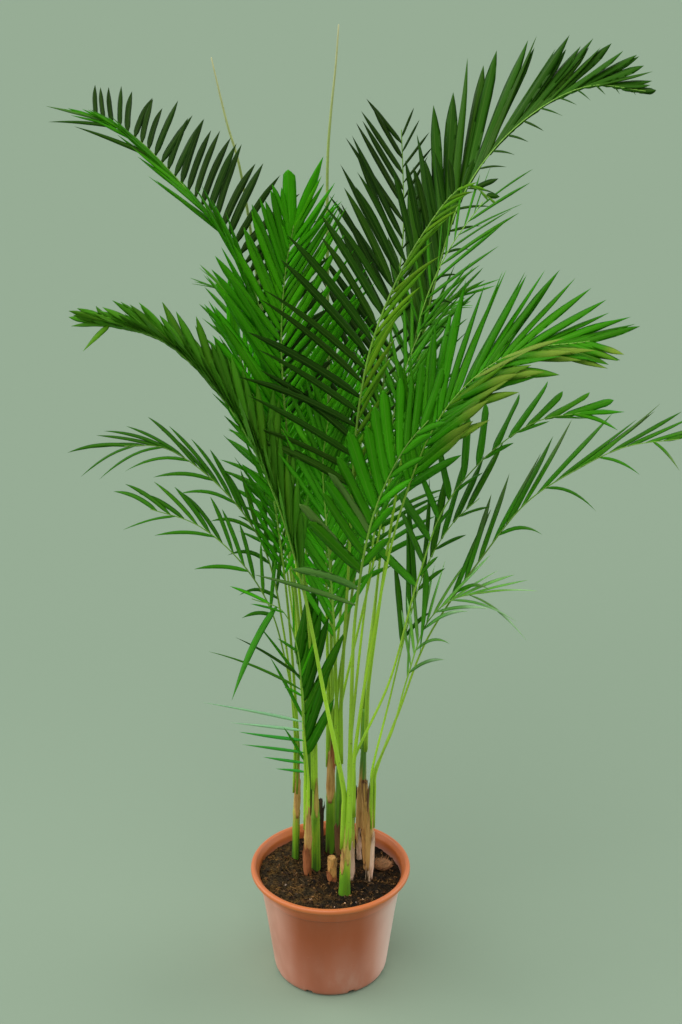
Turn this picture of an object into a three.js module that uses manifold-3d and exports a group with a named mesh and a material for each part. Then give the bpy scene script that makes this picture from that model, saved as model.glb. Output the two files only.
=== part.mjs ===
// A potted cane palm: a clump of slender canes with feather-shaped fronds, in a thin moulded nursery pot.
// Millimetres, +Z up, as a person facing the plant sees it along +Y. The origin is the centre of the pot's
// flat foot, on the surface that it stands on.
import * as THREE from "three";
import { mergeVertices } from "three/addons/utils/BufferGeometryUtils.js";
import Module from "manifold-3d";

const wasm = await Module();
wasm.setup();

// ---- Driving dimensions ----

const CLEARANCE = 0.3; // gap between pieces that touch

const POT_HEIGHT = 178;
const RIM_RADIUS = 120; // outside of the rolled rim
const MOUTH_RADIUS = 113; // inner edge of the lip
const FOOT_RADIUS = 86; // where the wall meets the rounded foot
const WALL = 2;
const COLLAR_RADIUS = 109.5; // outside, just under the lip
const COLLAR_DEPTH = 28; // from the rim's top down to the step in the wall
const COLLAR_STEP = 2.6;
const POT_SEGMENTS = 32;
const DRAIN_HOLES = 8;
const DRAIN_RADIUS = 6;
const DRAIN_CIRCLE = 81;

const SOIL_LEVEL = 162;
const SOIL_SLOPE = 6; // the soil lies this much higher at the left front than at the right back
const ROOT_DEPTH = 42; // how far a cane's foot goes down into the soil

const CANE_SIDES = 8;
const PETIOLE_RADIUS = 2.4;
const MIDRIB_TIP_RADIUS = 0.8;
const MIDRIB_SIDES = 4;
const MIDRIB_STEPS = 12;
const UPRIGHT_START = 18; // a frond's stalk leaves its cane straight up for this length
const SPEAR_RADIUS = 2.2;
const SPEAR_STEPS = 12;

const LEAFLET_EVERY = 2; // one leaflet of this model stands for this many on the plant
const BLADE_RIDGE = 1.5; // height of a blade's midrib ridge over its two edges
const SHORTEST_LEAFLET = 0.5; // a leaflet that meets others is turned, then cut down to this share

// Each cane: foot on the soil (x, y), top (x, y, z), and the radius at each end.
const CANES = [
  { base: [-54, 38], top: [-48, 32, 350], footRadius: 5.5, topRadius: 7 },
  { base: [-34, -4], top: [-33, -8, 310], footRadius: 6, topRadius: 6.5 },
  { base: [-22, 11], top: [-22, 8, 370], footRadius: 7.5, topRadius: 6.5 },
  { base: [0, 62], top: [2, 58, 380], footRadius: 8.5, topRadius: 8 },
  { base: [14, 40], top: [13, 34, 400], footRadius: 6.5, topRadius: 7 },
  { base: [21, -53], top: [25, -56, 310], footRadius: 9, topRadius: 7 },
  { base: [31, -17], top: [31, -14, 340], footRadius: 5.5, topRadius: 7 },
  { base: [58, -15], top: [61, -14, 320], footRadius: 5.5, topRadius: 7 },
  { base: [-30, 68], top: [-34, 74, 380], footRadius: 7, topRadius: 8.5 },
  { base: [46, 68], top: [52, 74, 400], footRadius: 7.5, topRadius: 7 },
];

const DARK = 0x2a5a12;
const MIDDLE = 0x3c7a18;
const BRIGHT = 0x4f9a1c;
const PALE = 0x8cc63a;

// Each frond: the cane it grows on and the angle of its seat on the cane's top, in degrees from +X; the
// share of its length that is bare stalk; seats for leaflets on each side; the way its upper side faces;
// how long the first and the last leaflets are against the longest; and the points that its midrib runs
// through. The rows on its left and right hold the longest leaflet's length, the angle that leaflets make
// with the midrib at the start and at the tip, their lift over the frond's plane, the share of their length
// that they droop, their width, the share that they bend on towards the frond's tip, and the number of
// seats for each leaflet. Single leaflets that stand out follow, as [share of the frond's length, side,
// angle, lift, length, droop, width, bend]; the side is -1 for left and 1 for right.
const FRONDS = [
  // 1: upper left arch
  {
    cane: 3, seat: 150, bare: 0.5, pairs: 38, face: [0.5, -0.6, 1], start: 0.8, end: 0.3, green: DARK,
    path: [
      [-45, 10, 646], [-73, -5, 944], [-115, -10, 1104],
      [-189, 0, 1193], [-251, 5, 1253], [-295, 5, 1273],
    ],
    left: [135, 13, 6, -10, 0.03, 7, 0, 1], right: [126, 56, 64, 30, 0, 10, -0.1, 1],
    single: [
      [0.985, -1, 6, -10, 75, 0.08, 5, 0], [0.96, -1, 20, -20, 95, 0.16, 5, 0],
      [0.9, -1, 24, -20, 115, 0.1, 6, 0],
    ],
  },
  // 2: upper right arch
  {
    cane: 10, seat: 300, bare: 0.52, pairs: 36, face: [-0.5, -0.5, 1], start: 0.85, end: 0.08, green: DARK,
    path: [
      [95, 60, 760], [140, 65, 1040], [182, 70, 1175],
      [250, 62, 1260], [330, 48, 1305], [400, 34, 1300],
    ],
    left: [160, 34, 10, 3, 0.02, 18, 0.24, 1], right: [50, 60, 46, -10, 0.3, 3.5, 0.1, 2],
  },
  // 3: top centre, upright
  {
    cane: 4, seat: 20, bare: 0.5, pairs: 18, face: [-0.1, -1, 0.3], start: 0.9, end: 0.35, green: DARK,
    path: [[60, 70, 800], [100, 110, 1100], [100, 130, 1175], [97, 140, 1240]],
    left: [175, 48, 26, 8, 0.05, 9, 0.06, 1], right: [110, 44, 28, 8, 0.08, 4.5, 0.05, 1],
  },
  // 4: centre, dark, arches right
  {
    cane: 5, seat: 310, bare: 0.46, pairs: 26, face: [-0.3, -1, 0.35], start: 0.9, end: 0.02, green: DARK,
    path: [
      [25, -40, 653], [40, -92, 931], [63, -118, 1040],
      [112, -142, 1150], [162, -158, 1211], [196, -165, 1193],
    ],
    left: [178, 61, 44, 6, 0.11, 11, 0, 1], right: [105, 20, 12, 0, 0.12, 5.5, 0.03, 1],
  },
  // 5: bright, left of centre
  {
    cane: 3, seat: 270, bare: 0.48, pairs: 30, face: [0.1, -1, 0.4], start: 0.75, end: 0.38, green: BRIGHT,
    path: [[-30, -12, 592], [-54, -28, 846], [-61, -38, 994], [-54, -44, 1088], [-43, -50, 1145]],
    left: [165, 33, 22, 8, 0, 10.5, 0, 1], right: [190, 46, 20, 6, 0, 8, 0.03, 1],
    single: [[0.97, -1, 13, 0, 92, 0, 18, 0], [0.97, 1, 9, 0, 118, 0, 15, 0]],
  },
  // 6: right, fine, behind the upper right arch
  {
    cane: 5, seat: 60, bare: 0.5, pairs: 15, face: [-0.5, -0.6, 1], start: 0.9, end: 0.5, green: MIDDLE,
    path: [[60, 45, 640], [100, 75, 860], [125, 60, 1010], [158, 50, 1095], [200, 40, 1160]],
    left: [110, 48, 30, 10, 0.05, 4.5, 0.05, 1], right: [175, 42, 28, 5, 0.1, 5.5, 0.05, 1],
  },
  // 7: right middle, broad and bright
  {
    cane: 7, seat: 320, bare: 0.57, pairs: 26, face: [-0.3, -0.4, 1], start: 0.9, end: 0.36, green: BRIGHT,
    path: [[60, -20, 560], [100, -40, 775], [155, -60, 915], [230, -85, 990], [325, -105, 1012]],
    left: [140, 46, 14, 12, 0.02, 13.5, 0.28, 1], right: [140, 32, 20, -10, 0.1, 14, 0.02, 1],
    single: [
      [0.74, 1, 20, -4, 120, 0.08, 10, 0], [0.8, 1, 15, -4, 105, 0.06, 9, 0],
      [0.86, 1, 10, -4, 90, 0.05, 9, 0],
    ],
  },
  // 8: right, sparse, short broad leaflets that stand up
  {
    cane: 7, seat: 50, bare: 0.45, pairs: 12, face: [-0.5, -0.35, 0.8], start: 0.95, end: 0.6, green: MIDDLE,
    path: [[85, 5, 480], [125, 15, 640], [160, 10, 750], [220, 5, 830], [280, 0, 875], [335, -5, 888]],
    left: [98, 78, 6, 10, 0, 13, 0, 1], right: [62, 18, 8, -12, 0.15, 6, 0, 2],
    single: [[0.985, -1, 4, 4, 72, 0.14, 11, 0], [0.985, 1, 10, -4, 62, 0.3, 8, 0]],
  },
  // 9: right, lowest, long and thin
  {
    cane: 8, seat: 0, bare: 0.42, pairs: 14, face: [-0.4, -0.3, 1], start: 0.95, end: 0.4, green: MIDDLE,
    path: [
      [100, 10, 430], [140, 25, 540], [220, 38, 668], [278, 48, 742],
      [343, 52, 787], [410, 50, 822], [482, 42, 836],
    ],
    left: [150, 20, 8, 14, 0.02, 8.5, 0.02, 1], right: [80, 22, 30, -12, 0.5, 6, 0, 3],
  },
  // 10: right, small and pale
  {
    cane: 8, seat: 270, bare: 0.5, pairs: 12, face: [-0.4, -0.3, 1], start: 0.9, end: 0.8, green: PALE,
    path: [[90, -18, 415], [110, -5, 490], [140, 10, 575], [175, 18, 605], [215, 25, 612]],
    left: [105, 28, 6, 10, 0.14, 5, 0.05, 1], right: [92, 30, 30, -5, 0.45, 5, 0.05, 2],
  },
  // 11: left middle, leaflets folded up over the midrib
  {
    cane: 6, seat: 190, bare: 0.44, pairs: 42, face: [0.5, -0.45, 0.8], start: 0.8, end: 0.35, green: DARK,
    path: [
      [-8, -60, 500], [-40, -62, 680], [-75, -60, 800],
      [-130, -60, 915], [-210, -60, 1000], [-290, -60, 1025],
    ],
    left: [105, 13, 7, 62, 0.03, 12, 0.02, 1], right: [130, 18, 9, 50, 0.06, 11.5, 0.02, 1],
    single: [
      [0.985, -1, 8, 0, 48, 0.3, 8, 0], [0.985, -1, 58, -10, 48, 0.3, 8, 0],
      [0.97, 1, 20, 30, 55, -0.05, 8, -0.3],
    ],
  },
  // 12: left lower, fine
  {
    cane: 1, seat: 190, bare: 0.42, pairs: 15, face: [0.4, -0.4, 1], start: 0.95, end: 0.7, green: MIDDLE,
    path: [[-65, 30, 540], [-95, 40, 680], [-155, 50, 765], [-230, 60, 817], [-285, 60, 820]],
    left: [95, 28, 12, -10, 0.55, 6, 0.1, 2], right: [125, 20, 10, 20, 0.22, 7, 0, 1],
  },
  // 13: left lower, second
  {
    cane: 1, seat: 280, bare: 0.5, pairs: 11, face: [0.4, -0.4, 1], start: 0.9, end: 0.7, green: MIDDLE,
    path: [[-60, 0, 500], [-85, -20, 615], [-125, -25, 685], [-180, -35, 740], [-240, -40, 764]],
    left: [90, 34, 18, -10, 0.35, 5.5, 0.1, 3], right: [110, 32, 18, 24, 0.3, 7, 0, 1],
  },
  // 14: left, small, one long bright leaflet
  {
    cane: 2, seat: 290, bare: 0.45, pairs: 3, face: [0.4, -0.4, 1], start: 0.9, end: 0.7, green: BRIGHT,
    path: [[-38, -30, 440], [-45, -45, 560], [-65, -52, 620], [-105, -58, 640]],
    left: [80, 40, 30, 0, 0.1, 4, 0.05, 1], right: [70, 30, 16, 10, 0.1, 5, 0.05, 1],
    single: [
      [0.9, -1, 70, -6, 150, 0.3, 9, -0.1], [0.5, -1, 50, -50, 165, 0.12, 4.5, 0],
      [0.56, -1, 42, -50, 130, 0.1, 4.5, 0],
    ],
  },
  // 15: left, lowest
  {
    cane: 2, seat: 170, bare: 0.2, pairs: 9, face: [0, -1, 0.3], start: 0.7, end: 0.8, green: BRIGHT,
    path: [[-37, -14, 395], [-39, -10, 475], [-50, -5, 540]],
    left: [110, 28, 18, 0, 0.05, 5, 0, 3], right: [140, 24, 16, 10, 0, 15, 0, 1],
    single: [
      [0.5, -1, 76, 0, 150, 0.02, 5, 0], [0.44, -1, 82, 0, 108, 0.02, 5, 0],
      [0.37, -1, 82, 0, 96, 0, 5.5, 0], [0.28, -1, 80, 0, 92, 0, 5.5, 0],
      [0.2, -1, 80, 0, 62, 0, 5, 0], [0.13, -1, 80, 0, 44, 0, 5, 0],
    ],
  },
  // 16: front centre, broad and bright
  {
    cane: 6, seat: 310, bare: 0.6, pairs: 12, face: [-0.2, -0.8, 0.8], start: 0.95, end: 0.8, green: BRIGHT,
    path: [[30, -70, 460], [36, -95, 640], [58, -128, 790], [95, -160, 890], [122, -180, 932]],
    left: [102, 46, 26, 12, 0, 15.5, 0.03, 1], right: [70, 26, 18, -6, 0.12, 10, 0.05, 2],
    single: [
      [0.56, -1, 72, 10, 100, 0.25, 11, 0], [0.52, -1, 84, 4, 150, 0.06, 8, 0],
      [0.6, -1, 48, 12, 125, 0, 15, 0], [0.7, -1, 44, 14, 100, 0, 15, 0],
    ],
  },
  // 17: back left, tall
  {
    cane: 9, seat: 190, bare: 0.45, pairs: 20, face: [0.4, -0.6, 1], start: 0.8, end: 0.4, green: MIDDLE,
    path: [[-60, 95, 640], [-85, 135, 830], [-105, 180, 930], [-130, 230, 985], [-160, 280, 995]],
    left: [140, 50, 24, 15, 0.1, 9, 0.05, 1], right: [150, 50, 24, 15, 0.1, 9, 0.05, 1],
  },
  // 18: back right, tall
  {
    cane: 10, seat: 40, bare: 0.45, pairs: 20, face: [-0.4, -0.5, 1], start: 0.8, end: 0.4, green: MIDDLE,
    path: [[75, 120, 640], [100, 170, 800], [125, 230, 900], [155, 290, 950], [185, 345, 950]],
    left: [140, 50, 26, 15, 0.15, 9, 0.05, 1], right: [110, 50, 26, 15, 0.15, 9, 0.05, 1],
  },
  // 19: centre, upright, behind
  {
    cane: 4, seat: 200, bare: 0.34, pairs: 22, face: [0, -1, 0.2], start: 0.8, end: 0.5, green: BRIGHT,
    path: [[-5, 70, 640], [-2, 90, 790], [4, 105, 900], [12, 120, 965]],
    left: [120, 36, 18, 12, 0.03, 8, 0, 1], right: [125, 36, 18, 12, 0.03, 8, 0.05, 1],
  },
  // 20: back, left of centre
  {
    cane: 9, seat: 60, bare: 0.34, pairs: 20, face: [0.1, -0.6, 1], start: 0.8, end: 0.4, green: MIDDLE,
    path: [[-35, 120, 600], [-40, 200, 770], [-50, 290, 860], [-60, 370, 880]],
    left: [120, 50, 26, 15, 0.2, 9, 0.05, 1], right: [120, 50, 26, 15, 0.2, 9, 0.05, 1],
  },
  // 21: front centre
  {
    cane: 5, seat: 220, bare: 0.3, pairs: 20, face: [0, -1, 0.3], start: 0.9, end: 0.6, green: MIDDLE,
    path: [[5, -5, 600], [-4, -30, 740], [-8, -45, 830], [0, -55, 900]],
    left: [150, 24, 20, 10, 0.03, 8, 0, 1], right: [150, 22, 20, 10, 0.03, 8, 0, 1],
  },
  // 22: back right, low
  {
    cane: 10, seat: 130, bare: 0.45, pairs: 20, face: [-0.1, -0.6, 1], start: 0.8, end: 0.5, green: MIDDLE,
    path: [[70, 160, 560], [90, 240, 680], [110, 320, 740], [125, 380, 730]],
    left: [115, 50, 26, 10, 0.25, 8, 0.05, 1], right: [115, 50, 26, 10, 0.25, 8, 0.05, 1],
  },
  // 23: right, short, broad leaflets that stand up
  {
    cane: 8, seat: 100, bare: 0.45, pairs: 8, face: [-0.5, -0.3, 0.8], start: 0.95, end: 0.7, green: MIDDLE,
    path: [[85, 15, 440], [115, 35, 570], [140, 45, 650], [175, 50, 710], [210, 52, 745]],
    left: [140, 26, 14, 14, 0.02, 12, 0, 1], right: [70, 26, 18, -12, 0.2, 6, 0, 2],
    single: [[0.72, 1, 150, 0, 115, 0.1, 20, 0], [0.6, -1, 30, 0, 150, 0, 9, 0]],
  },
  // 24: back, right of centre
  {
    cane: 4, seat: 100, bare: 0.34, pairs: 20, face: [-0.1, -0.5, 1], start: 0.8, end: 0.4, green: MIDDLE,
    path: [[20, 95, 600], [38, 150, 740], [56, 220, 830], [68, 300, 850]],
    left: [115, 50, 26, 15, 0.2, 9, 0.05, 1], right: [115, 50, 26, 15, 0.2, 9, 0.05, 1],
  },
  // 25: right, behind the broad bright one
  {
    cane: 7, seat: 140, bare: 0.5, pairs: 16, face: [-0.4, -0.4, 1], start: 0.85, end: 0.5, green: MIDDLE,
    path: [[50, 10, 600], [80, 30, 830], [105, 45, 940], [140, 60, 1010], [185, 70, 1040]],
    left: [100, 36, 20, 12, 0.04, 7, 0.05, 1], right: [110, 28, 20, 0, 0.08, 7, 0.05, 1],
  },
  // 26: left, behind the folded one
  {
    cane: 1, seat: 100, bare: 0.42, pairs: 22, face: [0.4, -0.6, 1], start: 0.85, end: 0.5, green: BRIGHT,
    path: [[-62, 45, 600], [-85, 55, 790], [-108, 62, 905], [-138, 68, 985]],
    left: [115, 26, 14, 5, 0.04, 6, 0, 1], right: [165, 40, 20, 14, 0.03, 9, 0.05, 1],
  },
  // 27: back left, low
  {
    cane: 9, seat: 125, bare: 0.45, pairs: 20, face: [0.3, -0.4, 1], start: 0.8, end: 0.5, green: MIDDLE,
    path: [[-60, 130, 560], [-80, 210, 700], [-100, 290, 790], [-112, 360, 820]],
    left: [110, 50, 26, 10, 0.25, 8, 0.05, 1], right: [110, 50, 26, 10, 0.25, 8, 0.05, 1],
  },
];

// Unopened spear leaves: the cane that each grows out of, and the points that it runs through.
const SPEARS = {
  spear_left: {
    cane: 9,
    path: [[-60, 72, 700], [-90, 68, 1000], [-117, 65, 1205], [-131, 65, 1256], [-149, 65, 1338]],
  },
  spear_centre: {
    cane: 4,
    path: [[0, 50, 800], [-2, 46, 1100], [-1, 45, 1219], [3, 45, 1271], [10, 45, 1337], [13, 45, 1379]],
  },
};

// Dead or cut canes: foot on the soil (x, y), top (x, y, z), and the radius at each end.
const STUBS = [
  { base: [-15, 46], top: [-15, 47, 262], footRadius: 4.5, topRadius: 4 },
  { base: [3, -19], top: [2, -20, 203], footRadius: 7.5, topRadius: 7 },
  { base: [31, 27], top: [34, 26, 305], footRadius: 4.5, topRadius: 4 },
  { base: [44, 42], top: [44, 42, 214], footRadius: 4, topRadius: 2.5 },
  { base: [55, 18], top: [51, 19, 312], footRadius: 5.5, topRadius: 5.5 },
];

const HUSK = { centre: [80, 18, 163], size: [15.2, 11.2, 9.2] };

// ---- Tools ----

const UP = new THREE.Vector3(0, 0, 1);
const group = new THREE.Group();

// A steady pseudo-random value from 0 to 1 for the numbers that name a place.
function noise(...place) {
  const mixed = place.reduce((sum, value, i) => sum + (i + 1) * 12.9898 * value, 4.137);
  const spread = Math.sin(mixed) * 43758.5453;
  return spread - Math.floor(spread);
}

const radians = (degrees) => (degrees * Math.PI) / 180;
const vector = (point) => new THREE.Vector3(...point);

// A closed geometry as a solid: its shared vertices are joined and its collapsed triangles dropped.
function solid(geometry) {
  const bare = geometry.index ? geometry.toNonIndexed() : geometry.clone();
  bare.deleteAttribute("normal");
  bare.deleteAttribute("uv");
  const merged = mergeVertices(bare, 1e-3);
  const index = merged.index.array;
  const triVerts = [];
  for (let i = 0; i < index.length; i += 3) {
    const [a, b, c] = [index[i], index[i + 1], index[i + 2]];
    if (a !== b && b !== c && c !== a) triVerts.push(a, b, c);
  }
  return new wasm.Manifold(
    new wasm.Mesh({
      numProp: 3,
      vertProperties: new Float32Array(merged.attributes.position.array),
      triVerts: new Uint32Array(triVerts),
    }),
  );
}

function geometryOf(made) {
  const mesh = made.getMesh();
  const geometry = new THREE.BufferGeometry();
  geometry.setAttribute("position", new THREE.BufferAttribute(mesh.vertProperties, mesh.numProp));
  geometry.setIndex(new THREE.BufferAttribute(mesh.triVerts, 1));
  geometry.computeVertexNormals();
  return geometry;
}

function piece(name, made, color, roughness) {
  const material = new THREE.MeshStandardMaterial({ color, roughness, metalness: 0 });
  const mesh = new THREE.Mesh(geometryOf(made), material);
  mesh.name = name;
  group.add(mesh);
}

// A turned solid about +Z from points [radius, height].
function turned(points, segments) {
  const profile = points.map(([radius, height]) => new THREE.Vector2(radius, height));
  return new THREE.LatheGeometry(profile, segments).rotateX(Math.PI / 2);
}

function polygon(points) {
  return new THREE.Shape(points.map(([x, y]) => new THREE.Vector2(x, y)));
}

// A section swept along a curve. The section's +Y turns to the side that `upper` points to, and
// size(t) gives its width and height at the share t of the length. Steps bunch towards the start
// where `bunch` is over 1.
function swept(section, curve, steps, upper, size, bunch = 1) {
  const geometry = new THREE.ExtrudeGeometry(section, { depth: 1, steps, bevelEnabled: false });
  const position = geometry.attributes.position;
  for (let i = 0; i < position.count; i += 1) {
    const t = position.getZ(i) ** bunch;
    const along = curve.getTangentAt(t);
    const side = new THREE.Vector3().crossVectors(upper, along).normalize();
    const over = new THREE.Vector3().crossVectors(along, side);
    const [width, height] = size(t);
    const place = curve.getPointAt(t);
    place.addScaledVector(side, position.getX(i) * width);
    place.addScaledVector(over, position.getY(i) * height);
    position.setXYZ(i, place.x, place.y, place.z);
  }
  return geometry;
}

// ---- Pot and soil ----

const STEP_HEIGHT = POT_HEIGHT - COLLAR_DEPTH;

function pot() {
  const outside = [
    [0, 0], [FOOT_RADIUS - 8, 0], [FOOT_RADIUS - 3, 2.5], [FOOT_RADIUS, 11],
    [COLLAR_RADIUS - COLLAR_STEP - 1.4, STEP_HEIGHT - 1.5], [COLLAR_RADIUS - 1.4, STEP_HEIGHT],
    [COLLAR_RADIUS, POT_HEIGHT - 9], [RIM_RADIUS - 3, POT_HEIGHT - 9], [RIM_RADIUS, POT_HEIGHT - 6],
    [RIM_RADIUS - 0.8, POT_HEIGHT - 1.8], [RIM_RADIUS - 4, POT_HEIGHT],
  ];
  const inside = [
    [MOUTH_RADIUS, POT_HEIGHT - 0.6], [COLLAR_RADIUS - WALL + 0.1, POT_HEIGHT - 8.6],
    [COLLAR_RADIUS - 1.4 - WALL, STEP_HEIGHT + 1],
    [COLLAR_RADIUS - COLLAR_STEP - 1.4 - WALL, STEP_HEIGHT - 1],
    [FOOT_RADIUS - WALL, 11.5], [FOOT_RADIUS - 5, 3.8], [FOOT_RADIUS - 9, 2.5], [0, 2.5],
  ];
  let body = solid(turned([...outside, ...inside], POT_SEGMENTS));
  for (let i = 0; i < DRAIN_HOLES; i += 1) {
    const turn = ((i + 0.5) / DRAIN_HOLES) * 2 * Math.PI;
    const hole = new THREE.CylinderGeometry(DRAIN_RADIUS, DRAIN_RADIUS, 14, 8);
    hole.rotateX(Math.PI / 2);
    hole.translate(DRAIN_CIRCLE * Math.cos(turn), DRAIN_CIRCLE * Math.sin(turn), -2);
    body = body.subtract(solid(hole));
  }
  return body;
}

// How far the soil's surface lies over or under its mean level at a place.
function soilHeight(x, y) {
  const slope = (-SOIL_SLOPE * (0.8 * x + 0.6 * y)) / MOUTH_RADIUS;
  return slope + 1.5 * Math.sin(x / 17 + 1) * Math.cos(y / 21);
}

// A cane or a stub, from `depth` under the soil up to its flat top, fattened by `extra`.
function stalk({ base, top, footRadius, topRadius }, depth, extra = 0) {
  const foot = vector([...base, SOIL_LEVEL]);
  const axis = vector(top).sub(foot).normalize();
  const height = vector(top).distanceTo(foot);
  const ring = (radius, share) => [radius + extra, height * share];
  const middle = (share) => footRadius + (topRadius - footRadius) * share;
  const profile = [
    [0, -depth - extra], [footRadius + extra, -depth - extra], ring(footRadius, 0.1),
    ring(middle(0.35) * 0.92, 0.41), ring(middle(0.4) * 1.06, 0.45), ring(middle(0.8) * 0.92, 0.75),
    ring(topRadius, 1), [0, height],
  ];
  const turn = new THREE.Quaternion().setFromUnitVectors(UP, axis);
  return turned(profile, CANE_SIDES).applyQuaternion(turn).translate(foot.x, foot.y, foot.z);
}

function husk(extra = 0) {
  const [width, depth, height] = HUSK.size;
  return new THREE.SphereGeometry(1, 10, 7)
    .rotateX(Math.PI / 2)
    .scale(width + extra, depth + extra, height + extra)
    .translate(...HUSK.centre);
}

function soil() {
  const gap = WALL + CLEARANCE + 0.15;
  const wallRadius = COLLAR_RADIUS - 1.4 - gap;
  const profile = [
    [0, 2.5 + CLEARANCE], [FOOT_RADIUS - 10, 2.5 + CLEARANCE], [FOOT_RADIUS - gap, 12],
    [wallRadius - COLLAR_STEP, STEP_HEIGHT - 1.5], [wallRadius, STEP_HEIGHT + 1.5],
    [wallRadius + 0.3, SOIL_LEVEL], [70, SOIL_LEVEL], [35, SOIL_LEVEL], [0, SOIL_LEVEL],
  ];
  const body = turned(profile, POT_SEGMENTS);
  const position = body.attributes.position;
  for (let i = 0; i < position.count; i += 1) {
    const [x, y, z] = [position.getX(i), position.getY(i), position.getZ(i)];
    if (z > SOIL_LEVEL - 0.01) position.setZ(i, z + soilHeight(x, y));
  }
  const sockets = [...CANES, ...STUBS].map((cane) => solid(stalk(cane, ROOT_DEPTH, CLEARANCE)));
  return solid(body).subtract(wasm.Manifold.union([...sockets, solid(husk(CLEARANCE))]));
}

// ---- Fronds ----

// The line of a stalk: up out of its place on the cane's top, then through the path's points.
function stalkCurve(cane, seat, path) {
  const { base, top, topRadius } = CANES[cane - 1];
  const axis = vector(top).sub(vector([...base, SOIL_LEVEL])).normalize();
  const reach = seat === undefined ? 0 : topRadius - PETIOLE_RADIUS - 0.4;
  const start = vector(top).addScaledVector(axis, 0.5);
  start.x += reach * Math.cos(radians(seat ?? 0));
  start.y += reach * Math.sin(radians(seat ?? 0));
  const upright = start.clone().addScaledVector(axis, UPRIGHT_START);
  return new THREE.CatmullRomCurve3([start, upright, ...path.map(vector)]);
}

function midrib(curve, upper, baseRadius, tipRadius, steps) {
  const turns = Array.from({ length: MIDRIB_SIDES }, (_, i) => ((i + 0.5) * 2 * Math.PI) / MIDRIB_SIDES);
  const section = polygon(turns.map((turn) => [Math.cos(turn), Math.sin(turn)]));
  const radius = (t) => baseRadius + (tipRadius - baseRadius) * t ** 0.8;
  return swept(section, curve, steps, upper, (t) => [radius(t), radius(t)]);
}

// The place at the share t of a midrib, which is built in straight steps.
function onMidrib(curve, t) {
  const step = Math.min(Math.floor(t * MIDRIB_STEPS), MIDRIB_STEPS - 1);
  const [from, to] = [step, step + 1].map((k) => curve.getPointAt(k / MIDRIB_STEPS));
  return from.lerp(to, t * MIDRIB_STEPS - step);
}

// Where each leaflet of a frond leaves the midrib, and its direction and shape.
function leafletPlan(frond, index, curve) {
  const upper = vector(frond.face).normalize();
  const plans = [];
  const add = (t, side, leaflet) => {
    const along = curve.getTangentAt(t);
    const over = upper.clone().addScaledVector(along, -upper.dot(along)).normalize();
    const out = new THREE.Vector3().crossVectors(along, over).multiplyScalar(side);
    plans.push({ root: onMidrib(curve, t), along, over, out, ...leaflet });
  };
  for (const side of [-1, 1]) {
    const row = side < 0 ? frond.left : frond.right;
    const [longest, startAngle, endAngle, lift, droop, widest, bend, every] = row;
    for (let i = 0; i < frond.pairs; i += Math.max(LEAFLET_EVERY, every)) {
      const share = Math.min((i + (side > 0 ? 0.5 : 0.1)) / frond.pairs, 0.995);
      const t = frond.bare + (1 - frond.bare) * (share + 0.22 * share * (1 - share));
      const swell = Math.min(1, frond.start + ((1 - frond.start) * share) / 0.3);
      const fade = 1 - (1 - frond.end) * Math.max(0, (share - 0.3) / 0.7) ** 1.4;
      add(t, side, {
        angle: startAngle + (endAngle - startAngle) * share + 10 * (noise(index, i, side) - 0.5),
        lift: lift + 16 * (noise(index, i, side, 7) - 0.5),
        length: longest * swell * fade * (1 + 0.2 * (noise(index, i, side, 3) - 0.5)),
        width: widest * (0.5 + 0.5 * swell * fade),
        droop,
        bend,
      });
    }
  }
  for (const [t, side, angle, lift, length, droop, width, bend] of frond.single ?? []) {
    add(t, side, { angle, lift, length, droop, width, bend });
  }
  return plans;
}

// One blade: a shallow ridged strip from the midrib to a point, fattened by `extra`.
function blade(plan, swing, raise, share, extra = 0) {
  const { root, along, over, out, droop, bend, width } = plan;
  const angle = radians(plan.angle + swing);
  const lift = radians(plan.lift + raise);
  const length = plan.length * share;
  const direction = along.clone().multiplyScalar(Math.cos(angle));
  direction.addScaledVector(out, Math.sin(angle) * Math.cos(lift));
  direction.addScaledVector(over, Math.sin(angle) * Math.sin(lift));
  const across = along.clone().addScaledVector(direction, -along.dot(direction));
  const upper = new THREE.Vector3().crossVectors(direction, across).normalize();
  if (upper.dot(over) < 0) upper.negate();
  const middle = root.clone().addScaledVector(direction, length / 2);
  const tip = root.clone().addScaledVector(direction, length);
  tip.addScaledVector(UP, -droop * length).addScaledVector(along, bend * length);
  const curve = new THREE.QuadraticBezierCurve3(root, middle, tip);
  const section = polygon([[-1, -0.4], [1, -0.4], [0, 0.6]]);
  const spread = (t) => Math.min(1, 0.07 + 3 * t) * (1 - t ** 2.6);
  const swell = (t) => Math.min(1, 0.4 + 3 * t) * (1 - t);
  const size = (t) => [(width / 2) * spread(t) + extra, BLADE_RIDGE * swell(t) + 2 * extra];
  return solid(swept(section, curve, 2, upper, size, 1.5));
}

// Turns and lengths that a leaflet tries, in order, until it clears everything else.
const TRIES = [1, 0.75, SHORTEST_LEAFLET].flatMap((share) =>
  [[0, 0], [0, 14], [0, -14], [10, 0], [-10, 0], [8, 25], [8, -25], [-12, 20], [-12, -20]].map(
    ([swing, raise]) => [swing, raise, share],
  ),
);

// Everything placed so far, with its box and the frond or piece that owns it.
const placed = [];

function place(owner, made) {
  placed.push({ owner, made, box: made.boundingBox() });
}

function clears(owner, made) {
  const box = made.boundingBox();
  const apart = (other) =>
    [0, 1, 2].some((k) => box.min[k] > other.box.max[k] || box.max[k] < other.box.min[k]);
  return placed.every(
    (other) => other.owner === owner || apart(other) || made.intersect(other.made).isEmpty(),
  );
}

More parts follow.
